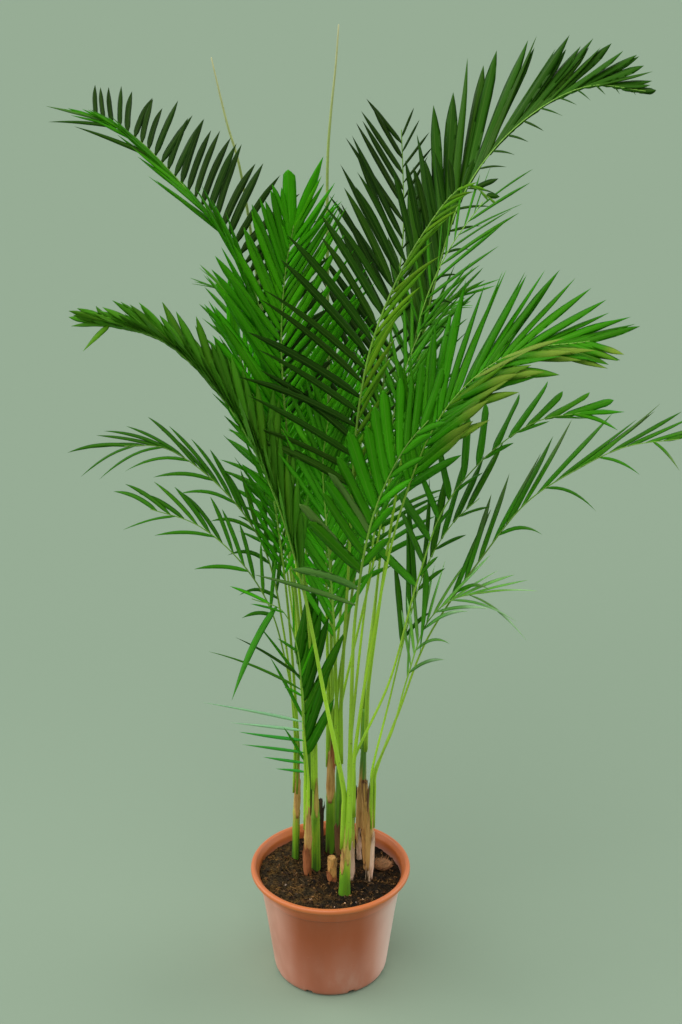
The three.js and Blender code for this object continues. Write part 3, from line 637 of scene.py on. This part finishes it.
def tint_at(stops, share):
    shares = [s for s, _ in stops]
    return np.array([np.interp(share, shares, [c[k] for _, c in stops]) for k in range(3)])


def axis_of(base, top):
    foot = np.array([*base, SOIL_LEVEL], float)
    head = np.array(top, float)
    return foot, head, unit(head - foot), float(np.linalg.norm(head - foot))


def around_axis(axis):
    """The way out from the axis at an angle, as a function of the angle."""
    side = unit(np.cross(axis, FRONT))
    over = np.cross(axis, side)
    return lambda a: side * math.cos(a) + over * math.sin(a)


def sheath(piece, foot, axis, height, radius, start, end, turn, width, colour, seed, kind):
    """A dry leaf sheath that clasps a cane: a curved shell with a torn upper edge."""
    out = around_axis(axis)
    rows, cols = 16, 14
    points, uvs, colours, faces = [], [], [], []
    for gap in (1.25, 0.75):
        for j in range(rows + 1):
            t = j / rows
            for i in range(cols + 1):
                s = i / cols - 0.5
                torn = 0.72 + 0.28 * steady(seed, i // 2, 9) - 0.9 * abs(s) ** 2 * t
                share = start + (end - start) * t * min(1, torn + 0.15 * (1 - t))
                a = math.radians(turn + width * s * (0.3 + 0.7 * smooth(t, -0.02, 0.3)) * (1 - 0.35 * t * t))
                flare = gap * (0.4 + 0.6 * smooth(t, 0, 0.3)) + 1.4 * t ** 3 * (0.4 + steady(seed, i, 4))
                flare += 0.5 * abs(s) + 0.35 * noise.noise(Vector((s * 9, t * 6, seed)))
                points.append(foot + axis * height * share + out(a) * (radius(share) + flare))
                uvs.append((s, t))
                fade = 1.1 - 0.25 * t + 0.25 * jitter(seed, i, 6)
                colours.append(np.array(colour) * fade)
    across = cols + 1
    size = (rows + 1) * across
    for j in range(rows):
        for a in range(j * across, j * across + cols):
            b, c, d = a + 1, a + across + 1, a + across
            faces += [(a, b, c, d), (a + size, d + size, c + size, b + size)]
    edge = [*range(across), *range(cols + across, size, across), *range(size - 2, rows * across - 1, -1),
            *range((rows - 1) * across, 0, -across)]
    faces += [(a + size, b + size, b, a) for a, b in zip(edge, edge[1:] + edge[:1])]
    piece.add(points, faces, uvs, colours, kind)


def waver(a, waves, up):
    """Noise that runs smoothly around a cane and up it."""
    return noise.noise(Vector((math.cos(a) * waves, math.sin(a) * waves, up)))


def shaft(piece, foot, axis, height, radius, tints, seed, torn=0.0):
    """The body of a cane: wavering rings from under the soil to its top."""
    out = around_axis(axis)
    rings, around, depth = 46, 20, 14
    points, uvs, colours = [], [], []
    for k in range(rings):
        share = -depth / height + (1 + depth / height) * k / (rings - 1)
        clamped = max(share, 0)
        for i, a in enumerate(circle(around)):
            at = share - torn * steady(seed, i, 2) if k == rings - 1 else share
            r = radius(clamped) + 0.28 * waver(a, 2, share * 9 + seed)
            points.append(foot + axis * height * at + out(a) * r)
            uvs.append((abs(2 * i / around - 1), share))
            shade = 1 + 0.16 * waver(a, 1.5, share * 5 + seed)
            mixed = clamped + 0.32 * waver(a, 2.4, share * 2.5 + 3.7 * seed)
            colours.append(tint_at(tints, min(max(mixed, 0), 1)) * shade)
    piece.add(points, skin(rings, around), uvs, colours)


def make_canes():
    for index, (base, top, foot_radius, top_radius) in enumerate(CANES):
        body = Piece()
        foot, _, axis, height = axis_of(base, top)

        def radius(share):
            swell = 0.08 * foot_radius * math.exp(-share / 0.05)
            nodes = 0.9 * bell(share, 0.44, 0.018) + 0.5 * bell(share, 0.8, 0.015)
            thick = (foot_radius + (top_radius - foot_radius) * share) * 0.93 + swell + nodes
            return thick * (1 - 0.55 * smooth(share, 0.25, 1))

        cane = body, foot, axis, height, radius
        shaft(*cane, CANE_TINTS[index], index)
        for k, (number, start, end, turn, width, colour) in enumerate(SHEATHS):
            if number == index + 1:
                sheath(*cane, start, end, turn, width, colour, k, 1)
        body.make(f"cane_{index + 1:02d}_stem", [STALK, DRY], "cane", f"cane_{index + 1:02d}")


def make_stubs():
    for index, (base, top, foot_radius, top_radius, (low, mid, high)) in enumerate(STUBS):
        body = Piece()
        foot, _, axis, height = axis_of(base, top)

        def radius(share):
            return foot_radius + (top_radius - foot_radius) * share + 0.8 * math.exp(-share / 0.06) - 0.8

        tints = [(0.12, low), (0.3, mid), (0.78, mid), (0.92, high)]
        cane = body, foot, axis, height, radius
        shaft(*cane, tints, 40 + index, 0.1)
        for k, (start, end) in enumerate(((0.02, 0.5), (0.2, 0.8), (0.5, 0.99))):
            colour = [c * (1.15 - 0.15 * k) for c in (low, mid, high)[k]]
            sheath(*cane, start, end, 225 + 55 * k, 105, colour, 60 + 3 * index + k, 0)
        body.make(f"stub_{index + 1:02d}_stem", [DRY], "dry_cane", f"stub_{index + 1:02d}")


def make_husk():
    body = Piece()
    hairs = 90
    centre, size = np.array((80, 18, 163.0)), (15.2, 11.2, 9.2)
    rings, around = 22, 30
    points, uvs, colours = [], [], []
    for k in range(rings):
        lat = math.pi * ((k + 0.5) / rings - 0.5)
        for i, a in enumerate(circle(around)):
            way = on_globe(lat, a)
            rough = 0.93 + 0.12 * noise.fractal(Vector(way * 2.6), 0.8, 2.2, 4)
            points.append(centre + way * size * rough)
            uvs.append((i / around, k / rings))
            colours.append(np.array((0.3, 0.15, 0.06)) * (1 + 0.6 * noise.noise(Vector(way * 4))))
    body.add(points, skin(rings, around), uvs, colours)
    for k in range(hairs):
        a, lat = 6.283 * steady(k, 51), 1.35 * (steady(k, 52) * 1.2 - 0.2)
        way = on_globe(lat, a)
        lean = np.array((jitter(k, 53), jitter(k, 54), steady(k, 55) - 0.3))
        path = [centre + way * size * 0.93 + (way * 0.35 + lean) * 5.5 * t + lean * 2 * t * t
                for t in (0, 0.35, 0.7, 1)]
        tube(body, path, [0.32, 0.28, 0.2, 0.12], np.array((0, 0.3, 1.0)),
             (0.4 + 0.15 * steady(k, 56), 0.24, 0.11), 4)
    body.make("husk_fibre", [DRY], "husk", "husk")


# ---- fronds

# The fronds' greens are partly their own colour and partly painted light: DEEP_GREEN and DARK are painted
# shade on the high arches and the centre, which face away from the light, and BRIGHT is painted light on
# fronds that face it.
DEEP_GREEN, DARK, MIDDLE = (0.016, 0.058, 0.006), (0.022, 0.1, 0.004), (0.058, 0.31, 0.008)
OLIVE, BRIGHT, PALE = (0.07, 0.27, 0.012), (0.064, 0.43, 0.003), (0.22, 0.54, 0.05)
SAGE, FRESH, ICE = (0.1, 0.26, 0.05), (0.06, 0.45, 0.06), (0.42, 0.72, 0.5)
LEMON, STRAW_GREEN = (0.13, 0.36, 0.012), (0.3, 0.46, 0.07)
PETIOLE, MIDRIB = (0.29, 0.53, 0.018), (0.17, 0.38, 0.03)

# The leaflets on one side: the longest one's length, the angle that they make with the midrib at the start
# and at the tip, their lift over the frond's plane, the share of their length that they droop, their width,
# how far they bend on towards the frond's tip, their brightness, the share of their length at which they
# begin to taper, how many seats there are for each leaflet, their own green if it isn't the frond's, and the
# colour of their outer half if it differs.
Side = namedtuple("Side", "length start end lift droop width bend tone strap every green tip",
                  defaults=(0, 0.1, 8, 0.05, 1.0, 0.6, 1, None, None))
# A frond: the cane that it grows on and the angle of its seat on the cane's top, the way its upper side
# faces, its midrib's points, its two sides (alike if only one is given), single leaflets that differ, the
# bare share of its length, the seats on each side, the first and last leaflets' length against the longest,
# its stalk's radius at the foot, and its green.
Plan = namedtuple("Plan", "cane seat face path left right single bare pairs start end stalk green",
                  defaults=(None, (), 0.45, 20, 0.8, 0.5, 3.0, MIDDLE))

# Single leaflets are (colour, share of the frond's length, way, angle, lift, length, width, droop, strap,
# bend) as far as they need it. Their way is -1 on the left and 1 on the right.
# Tones above 1 on fronds 11, 19, 21, 25 and 26, in the middle of the crown, are painted light that brightens
# leaves the crown shades.
FRONDS = [
    # 1: upper left arch
    Plan(3, 150, (0.5, -0.6, 1), bare=0.5, pairs=38, end=0.3, green=DEEP_GREEN,
         path=[(-45, 10, 646), (-73, -5, 944), (-115, -10, 1104), (-189, 0, 1193), (-251, 5, 1253),
               (-295, 5, 1273)],
         left=Side(135, 13, 6, -10, 0.03, 7, 0, 0.75, 0.5, 1, BRIGHT),
         right=Side(126, 56, 64, 30, 0, 10, -0.1),
         single=[(SAGE, 0.985, -1, 6, -10, 75, 5, 0.08), (DARK, 0.96, -1, 20, -20, 95, 5, 0.16),
                 (DARK, 0.9, -1, 24, -20, 115, 6, 0.1)]),
    # 2: upper right arch
    Plan(10, 300, (-0.5, -0.5, 1), bare=0.52, pairs=36, start=0.85, end=0.08, stalk=3.2, green=DARK,
         path=[(95, 60, 760), (140, 65, 1040), (182, 70, 1175), (250, 62, 1260), (330, 48, 1305),
               (400, 34, 1300)],
         left=Side(160, 34, 10, 3, 0.02, 18, 0.24, 1.3, 0.75),
         right=Side(50, 60, 46, -10, 0.3, 3.5, 0.1, 1, 0.4, 2)),
    # 3: top centre, upright
    Plan(4, 20, (-0.1, -1, 0.3), bare=0.5, pairs=18, start=0.9, end=0.35, stalk=2.6, green=DEEP_GREEN,
         path=[(60, 70, 800), (100, 110, 1100), (100, 130, 1175), (97, 140, 1240)],
         left=Side(175, 48, 26, 8, 0.05, 9, 0.06), right=Side(110, 44, 28, 8, 0.08, 4.5, 0.05)),
    # 4: centre, dark, arches right
    Plan(5, 310, (-0.3, -1, 0.35), bare=0.46, pairs=26, start=0.9, end=0.02, green=DARK,
         path=[(25, -40, 653), (40, -92, 931), (63, -118, 1040), (112, -142, 1150), (162, -158, 1211),
               (196, -165, 1193)],
         left=Side(178, 61, 44, 6, 0.11, 11, 0, 0.85),
         right=Side(105, 20, 12, 0, 0.12, 5.5, 0.03, 1, 0.6, 1, LEMON)),
    # 5: bright, left of centre
    Plan(3, 270, (0.1, -1, 0.4), bare=0.48, pairs=30, start=0.75, end=0.38, stalk=3.2, green=BRIGHT,
         path=[(-30, -12, 592), (-54, -28, 846), (-61, -38, 994), (-54, -44, 1088), (-43, -50, 1145)],
         left=Side(165, 33, 22, 8, 0, 10.5, 0, 0.9, 0.75), right=Side(190, 46, 20, 6, 0, 8, 0.03),
         single=[(BRIGHT, 0.97, -1, 13, 0, 92, 18, 0, 0.9), (BRIGHT, 0.97, 1, 9, 0, 118, 15, 0, 0.5)]),
    # 6: right, fine, behind the upper right arch
    Plan(5, 60, (-0.5, -0.6, 1), bare=0.5, pairs=15, start=0.9, stalk=2.4,
         path=[(60, 45, 640), (100, 75, 860), (125, 60, 1010), (158, 50, 1095), (200, 40, 1160)],
         left=Side(110, 48, 30, 10, 0.05, 4.5), right=Side(175, 42, 28, 5, 0.1, 5.5, 0.05, 0.95)),
    # 7: right middle, broad and bright
    Plan(7, 320, (-0.3, -0.4, 1), bare=0.57, pairs=26, start=0.9, end=0.36, stalk=3.2, green=BRIGHT,
         path=[(60, -20, 560), (100, -40, 775), (155, -60, 915), (230, -85, 990), (325, -105, 1012)],
         left=Side(140, 46, 14, 12, 0.02, 13.5, 0.28, 0.75),
         right=Side(140, 32, 20, -10, 0.1, 14, 0.02, 0.7, tip=(0.24, 0.38, 0.04)),
         single=[(LEMON, 0.74, 1, 20, -4, 120, 10, 0.08), (STRAW_GREEN, 0.8, 1, 15, -4, 105, 9, 0.06),
                 (STRAW_GREEN, 0.86, 1, 10, -4, 90, 9, 0.05)]),
    # 8: right, sparse, short broad leaflets that stand up
    Plan(7, 50, (-0.5, -0.35, 0.8), pairs=12, start=0.95, end=0.6, stalk=2.6,
         path=[(85, 5, 480), (125, 15, 640), (160, 10, 750), (220, 5, 830), (280, 0, 875), (335, -5, 888)],
         left=Side(98, 78, 6, 10, 0, 13, 0, 1.1, 0.85), right=Side(62, 18, 8, -12, 0.15, 6, 0, 1, 0.6, 2),
         single=[(BRIGHT, 0.985, -1, 4, 4, 72, 11, 0.14, 0.6),
                 (BRIGHT, 0.985, 1, 10, -4, 62, 8, 0.3, 0.5)]),
    # 9: right, lowest, long and thin
    Plan(8, 0, (-0.4, -0.3, 1), bare=0.42, pairs=14, start=0.95, end=0.4, stalk=2.4,
         path=[(100, 10, 430), (140, 25, 540), (220, 38, 668), (278, 48, 742), (343, 52, 787),
               (410, 50, 822), (482, 42, 836)],
         left=Side(150, 20, 8, 14, 0.02, 8.5, 0.02, tip=(0.13, 0.24, 0.07)),
         right=Side(80, 22, 30, -12, 0.5, 6, 0, 1, 0.5, 3, tip=(0.2, 0.36, 0.1))),
    # 10: right, small and pale
    Plan(8, 270, (-0.4, -0.3, 1), bare=0.5, pairs=12, start=0.9, end=0.8, stalk=2.2, green=PALE,
         path=[(90, -18, 415), (110, -5, 490), (140, 10, 575), (175, 18, 605), (215, 25, 612)],
         left=Side(105, 28, 6, 10, 0.14, 5, green=(0.2, 0.54, 0.08), tip=(0.5, 0.86, 0.38)),
         right=Side(92, 30, 30, -5, 0.45, 5, green=(0.15, 0.42, 0.09), tip=(0.48, 0.72, 0.45), every=2)),
    # 11: left middle, leaflets folded up over the midrib
    Plan(6, 190, (0.5, -0.45, 0.8), bare=0.44, pairs=42, end=0.35, stalk=4.4, green=OLIVE,
         path=[(-8, -60, 500), (-40, -62, 680), (-75, -60, 800), (-130, -60, 915), (-210, -60, 1000),
               (-290, -60, 1025)],
         left=Side(105, 13, 7, 62, 0.03, 12, 0.02, 1.2, 0.66),
         right=Side(130, 18, 9, 50, 0.06, 11.5, 0.02, 1.2, 0.66),
         single=[(OLIVE, 0.985, -1, 8, 0, 48, 8, 0.3, 0.5), (LEMON, 0.985, -1, 58, -10, 48, 8, 0.3, 0.5),
                 (OLIVE, 0.97, 1, 20, 30, 55, 8, -0.05, 0.5, -0.3)]),
    # 12: left lower, fine
    Plan(1, 190, (0.4, -0.4, 1), bare=0.42, pairs=15, start=0.95, end=0.7, stalk=2.4,
         path=[(-65, 30, 540), (-95, 40, 680), (-155, 50, 765), (-230, 60, 817), (-285, 60, 820)],
         left=Side(95, 28, 12, -10, 0.55, 6, 0.1, 0.8, 0.6, 2),
         right=Side(125, 20, 10, 20, 0.22, 7, 0, 0.65)),
    # 13: left lower, second
    Plan(1, 280, (0.4, -0.4, 1), bare=0.5, pairs=11, start=0.9, end=0.7, stalk=2.2,
         path=[(-60, 0, 500), (-85, -20, 615), (-125, -25, 685), (-180, -35, 740), (-240, -40, 764)],
         left=Side(90, 34, 18, -10, 0.35, 5.5, 0.1, 0.9, 0.6, 3),
         right=Side(110, 32, 18, 24, 0.3, 7, 0, 0.8)),
    # 14: left, small, one long bright leaflet
    Plan(2, 290, (0.4, -0.4, 1), pairs=3, start=0.9, end=0.7, stalk=2.2, green=BRIGHT,
         path=[(-38, -30, 440), (-45, -45, 560), (-65, -52, 620), (-105, -58, 640)],
         left=Side(80, 40, 30, 0, 0.1, 4), right=Side(70, 30, 16, 10, 0.1, 5),
         single=[((0.05, 0.31, 0.012), 0.9, -1, 70, -6, 150, 9, 0.3, 0.5, -0.1),
                 (OLIVE, 0.5, -1, 50, -50, 165, 4.5, 0.12), (DARK, 0.56, -1, 42, -50, 130, 4.5, 0.1)]),
    # 15: left, lowest
    Plan(2, 170, (0, -1, 0.3), bare=0.2, pairs=9, start=0.7, end=0.8, stalk=2.4, green=BRIGHT,
         path=[(-37, -14, 395), (-39, -10, 475), (-50, -5, 540)],
         left=Side(110, 28, 18, 0, 0.05, 5, 0, 0.6, 0.5, 3), right=Side(140, 24, 16, 10, 0, 15, 0, 0.45),
         single=[(ICE, 0.5, -1, 76, 0, 150, 5, 0.02, 0.3), (ICE, 0.44, -1, 82, 0, 108, 5, 0.02, 0.3),
                 (FRESH, 0.37, -1, 82, 0, 96, 5.5, 0, 0.3), (FRESH, 0.28, -1, 80, 0, 92, 5.5, 0, 0.3),
                 (FRESH, 0.2, -1, 80, 0, 62, 5, 0, 0.3), (FRESH, 0.13, -1, 80, 0, 44, 5, 0, 0.3)]),
    # 16: front centre, broad and bright
    Plan(6, 310, (-0.2, -0.8, 0.8), bare=0.6, pairs=12, start=0.95, end=0.8, stalk=4.2, green=BRIGHT,
         path=[(30, -70, 460), (36, -95, 640), (58, -128, 790), (95, -160, 890), (122, -180, 932)],
         left=Side(102, 46, 26, 12, 0, 15.5, 0.03, 0.68, 0.86),
         right=Side(70, 26, 18, -6, 0.12, 10, 0.05, 0.85, 0.7, 2),
         single=[(SAGE, 0.56, -1, 72, 10, 100, 11, 0.25, 0.8), (SAGE, 0.52, -1, 84, 4, 150, 8, 0.06),
                 (SAGE, 0.6, -1, 48, 12, 125, 15, 0, 0.9), (SAGE, 0.7, -1, 44, 14, 100, 15, 0, 0.9)]),
    # 17: back left, tall
    Plan(9, 190, (0.4, -0.6, 1), end=0.4,
         path=[(-60, 95, 640), (-85, 135, 830), (-105, 180, 930), (-130, 230, 985), (-160, 280, 995)],
         left=Side(140, 50, 24, 15, 0.1, 9), right=Side(150, 50, 24, 15, 0.1, 9)),
    # 18: back right, tall
    Plan(10, 40, (-0.4, -0.5, 1), end=0.4,
         path=[(75, 120, 640), (100, 170, 800), (125, 230, 900), (155, 290, 950), (185, 345, 950)],
         left=Side(140, 50, 26, 15, 0.15, 9), right=Side(110, 50, 26, 15, 0.15, 9)),
    # 19: centre, upright, behind
    Plan(4, 200, (0, -1, 0.2), bare=0.34, pairs=22, green=BRIGHT,
         path=[(-5, 70, 640), (-2, 90, 790), (4, 105, 900), (12, 120, 965)],
         left=Side(120, 36, 18, 12, 0.03, 8, 0, 1.3), right=Side(125, 36, 18, 12, 0.03, 8, tone=1.3)),
    # 20: back, left of centre
    Plan(9, 60, (0.1, -0.6, 1), bare=0.34, end=0.4, stalk=2.8,
         path=[(-35, 120, 600), (-40, 200, 770), (-50, 290, 860), (-60, 370, 880)],
         left=Side(120, 50, 26, 15, 0.2, 9)),
    # 21: front centre
    Plan(5, 220, (0, -1, 0.3), bare=0.3, start=0.9, end=0.6,
         path=[(5, -5, 600), (-4, -30, 740), (-8, -45, 830), (0, -55, 900)],
         left=Side(150, 24, 20, 10, 0.03, 8, 0, 1.6), right=Side(150, 22, 20, 10, 0.03, 8, 0, 1.6)),
    # 22: back right, low
    Plan(10, 130, (-0.1, -0.6, 1), stalk=2.6,
         path=[(70, 160, 560), (90, 240, 680), (110, 320, 740), (125, 380, 730)],
         left=Side(115, 50, 26, 10, 0.25, 8)),
    # 23: right, short, broad leaflets that stand up
    Plan(8, 100, (-0.5, -0.3, 0.8), pairs=8, start=0.95, end=0.7, stalk=2.2,
         path=[(85, 15, 440), (115, 35, 570), (140, 45, 650), (175, 50, 710), (210, 52, 745)],
         left=Side(140, 26, 14, 14, 0.02, 12, 0, 0.7), right=Side(70, 26, 18, -12, 0.2, 6, 0, 0.7, 0.6, 2),
         single=[(MIDDLE, 0.72, 1, 150, 0, 115, 20, 0.1), (MIDDLE, 0.6, -1, 30, 0, 150, 9, 0, 0.5)]),
    # 24: back, right of centre
    Plan(4, 100, (-0.1, -0.5, 1), bare=0.34, end=0.4, stalk=2.8,
         path=[(20, 95, 600), (38, 150, 740), (56, 220, 830), (68, 300, 850)],
         left=Side(115, 50, 26, 15, 0.2, 9)),
    # 25: right, behind the broad bright one
    Plan(7, 140, (-0.4, -0.4, 1), bare=0.5, pairs=16, start=0.85, stalk=2.8,
         path=[(50, 10, 600), (80, 30, 830), (105, 45, 940), (140, 60, 1010), (185, 70, 1040)],
         left=Side(100, 36, 20, 12, 0.04, 7, tone=1.25), right=Side(110, 28, 20, 0, 0.08, 7, tone=1.25)),
    # 26: left, behind the folded one
    Plan(1, 100, (0.4, -0.6, 1), bare=0.42, pairs=22, start=0.85, stalk=2.8, green=BRIGHT,
         path=[(-62, 45, 600), (-85, 55, 790), (-108, 62, 905), (-138, 68, 985)],
         left=Side(115, 26, 14, 5, 0.04, 6, 0, 0.85), right=Side(165, 40, 20, 14, 0.03, 9, tone=1.2)),
    # 27: back left, low
    Plan(9, 125, (0.3, -0.4, 1), stalk=2.6,
         path=[(-60, 130, 560), (-80, 210, 700), (-100, 290, 790), (-112, 360, 820)],
         left=Side(110, 50, 26, 10, 0.25, 8)),
]

LEAF_SLOTS = {DEEP_GREEN: "leaf_dark", DARK: "leaf_dark", OLIVE: "leaf_dark", MIDDLE: "leaf_middle",
              BRIGHT: "leaf_bright", PALE: "leaf_pale"}
UPRIGHT, SHEATHED, FOLD = 18, 70, 0.36
PETIOLE_RADIUS, TIP_RADIUS = 2.4, 0.7
STATIONS = (0, 0.05, 0.12, 0.22, 0.35, 0.48, 0.6, 0.72, 0.83, 0.92, 0.97)


def stalk_curve(cane, seat, path):
    base, top, _, top_radius = CANES[cane - 1]
    _, head, axis, _ = axis_of(base, top)
    reach = 0 if seat is None else top_radius - PETIOLE_RADIUS - 0.4
    turn = math.radians(seat or 0)
    start = head + axis * 0.5 + np.array((*polar(reach, turn), 0))
    return Curve([start, start + axis * UPRIGHT, *path]), axis


def leaflet(piece, root, direction, across, over, length, width, strap, droop, bend, roll, tint, tip, seed):
    """One leaflet: a thin closed blade with a ridge along its middle, from a narrow foot to a long point."""
    points, uvs, colours = [], [], []
    under = tint * 0.8 + np.array((0.02, 0.035, 0.006))
    for t in STATIONS:
        place = root + direction * length * t - UP * droop * length * t * t + bend * length * t * t
        taper = 1 - max(0, (t - strap) / (1 - strap)) ** 1.7
        half = width / 2 * (0.3 + 0.7 * smooth(t, -0.03, 0.17)) * taper
        a = roll * t
        wide = across * math.cos(a) + over * math.sin(a)
        high = over * math.cos(a) - across * math.sin(a)
        drop = FOLD * half
        thick = 0.28 + 0.5 * (1 - t) ** 3
        ripple = 0.06 * half * math.sin(9 * t + 6.28 * steady(seed, 4))
        middle = -0.44 * drop
        fade = 1 - 0.1 * t
        turned = smooth(t, 0.4, 0.75)
        above, below = tint * fade * (1 - turned) + tip * turned, under * fade
        for x, z, colour in (
            (-1, -drop + ripple, above), (-0.5, middle, above), (0, 0.12 + thick * 0.3, above),
            (0.5, middle, above), (1, -drop - ripple, above),
            (0.5, middle - thick * 0.5, below), (0, -thick, below), (-0.5, middle - thick * 0.5, below),
        ):
            points.append(place + wide * x * half + high * z)
            uvs.append((x / 2 + 0.5, t))
            colours.append(colour)
    points.append(root + direction * length - UP * droop * length + bend * length)
    uvs.append((0.5, 1))
    colours.append(tip)
    piece.add(points, skin(len(STATIONS), 8, True), uvs, colours)


def make_frond(index, spec):
    body = Piece()
    curve, axis = stalk_curve(spec.cane, spec.seat, spec.path)
    face = unit(np.array(spec.face, float))
    bare, pairs, thick = spec.bare, spec.pairs, spec.stalk

    # the stalk, which comes out of its cane's sheath
    foot = curve.at(0)
    shares = np.linspace(0, 1, 72)
    path = [foot - axis * SHEATHED * k for k in (1, 0.66, 0.33)] + [curve.at(s) for s in shares]
    sizes, tints, uppers = [], [], []
    for s in [-0.06, -0.04, -0.02, *shares]:
        radius = thick + (TIP_RADIUS - thick) * max(s, 0) ** 0.8
        clasp = 1 - smooth(s, -0.06, 0.12)
        sizes.append((radius * (1 + 0.2 * clasp), radius * (0.9 + 0.1 * clasp)))
        green_share = smooth(s, bare * 0.5, bare + 0.2)
        shade = 0.8 + 0.4 * steady(index, 77) + 0.45 * noise.noise(Vector((s * 7, index * 3.3, 0.5)))
        tints.append((np.array(PETIOLE) * (1 - green_share) + np.array(MIDRIB) * green_share) * shade)
        along = curve.along(min(max(s, 0), 1))
        uppers.append(face - face.dot(along) * along)
    tube(body, path, sizes, np.array(uppers), np.array(tints), 10, 0.35, True, 1)

    def grow(seed, tint, u, way, angle, lift, length, width, droop=0.0, strap=0.4, bend=0.0, tip=None):
        along = curve.along(u)
        over = unit(face - face.dot(along) * along)
        out = np.cross(along, over) * way
        a, b = math.radians(angle), math.radians(lift)
        direction = math.cos(a) * along + math.sin(a) * (math.cos(b) * out + math.sin(b) * over)
        across = unit(along - along.dot(direction) * direction)
        upper = np.cross(direction, across)
        if upper.dot(over) < 0:
            upper = -upper
        warm = 1 + 0.7 * max(0, steady(seed, 13) - 0.6)
        tint = np.array(tint) * np.array((warm, 1, 1))
        curl = along * (bend + 0.07 * jitter(seed, 15)) + upper * 0.08 * jitter(seed, 17)
        roll = math.radians(70 * jitter(seed, 19))
        droop = droop * (0.7 + 0.6 * steady(seed, 21))
        aged = 0 if tip is None else smooth(steady(seed, 25), 0.1, 0.8)
        end = tint * 0.92 * (1 - aged) + np.array(tip or tint) * aged
        leaflet(body, curve.at(u) + over * 0.3, direction, across, upper, length, width, strap, droop, curl,
                roll, tint, end, seed)

    for way in (-1, 1):
        leaves = spec.right if spec.right and way > 0 else spec.left
        for i in range(0, pairs, leaves.every):
            v = min((i + (0.5 if way > 0 else 0.1)) / pairs, 0.995)
            u = bare + (1 - bare) * (v + 0.22 * v * (1 - v))
            stray = jitter(index, i, way, 23)
            angle = leaves.start + (leaves.end - leaves.start) * v
            angle += 10 * jitter(index, i, way)
            angle += 14 * stray if abs(stray) > 0.38 else 0
            lift = leaves.lift + 16 * jitter(index, i, way, 7)
            swell = min(1, spec.start + (1 - spec.start) * v / 0.3)
            fade = 1 - (1 - spec.end) * max(0, (v - 0.3) / 0.7) ** 1.4
            length = leaves.length * swell * fade * (1 + 0.2 * jitter(index, i, way, 3))
            width = leaves.width * (0.5 + 0.5 * swell * fade) * (1 + 0.24 * jitter(index, i, way, 5))
            tint = np.array(leaves.green or spec.green)
            tint = tint * leaves.tone * (1 + 0.55 * jitter(index, i, way, 11))
            grow(index * 100 + i * 2 + way, tint, u, way, angle, lift, length, width, leaves.droop,
                 leaves.strap, leaves.bend, leaves.tip)
    for k, single in enumerate(spec.single):
        grow(5000 + index * 20 + k, *single)
    name = f"frond_{index + 1:02d}"
    body.make(name + "_leaf", [LEAF, STALK], LEAF_SLOTS[spec.green], name)


SPEARS = {
    "spear_left": (9, [(-60, 72, 700), (-90, 68, 1000), (-117, 65, 1205), (-131, 65, 1256),
                       (-149, 65, 1338)]),
    "spear_centre": (4, [(0, 50, 800), (-2, 46, 1100), (-1, 45, 1219), (3, 45, 1271), (10, 45, 1337),
                         (13, 45, 1379)]),
}


def make_spears():
    for name, (cane, points) in SPEARS.items():
        body = Piece()
        curve, axis = stalk_curve(cane, None, points)
        shares = np.linspace(0, 1, 70)
        path = [curve.at(0) - axis * 14] + [curve.at(s) for s in shares]
        sizes = [2.8 - 1.1 * s - 0.9 * s ** 12 + 0.25 * bell(s, 0.72, 0.05) for s in [0, *shares]]
        stops = [(0, LIME), (0.6, (0.16, 0.32, 0.04)), (0.85, (0.3, 0.42, 0.1)), (1, (0.52, 0.52, 0.26))]
        tints = np.array([tint_at(stops, s) for s in [0, *shares]])
        tube(body, path, sizes, FRONT, tints, 8, 0, True)
        body.make(name + "_leaf", [STALK], "spear", name)


make_pot()
make_soil()
make_canes()
make_stubs()
make_husk()
for index, spec in enumerate(FRONDS):
    make_frond(index, spec)
make_spears()
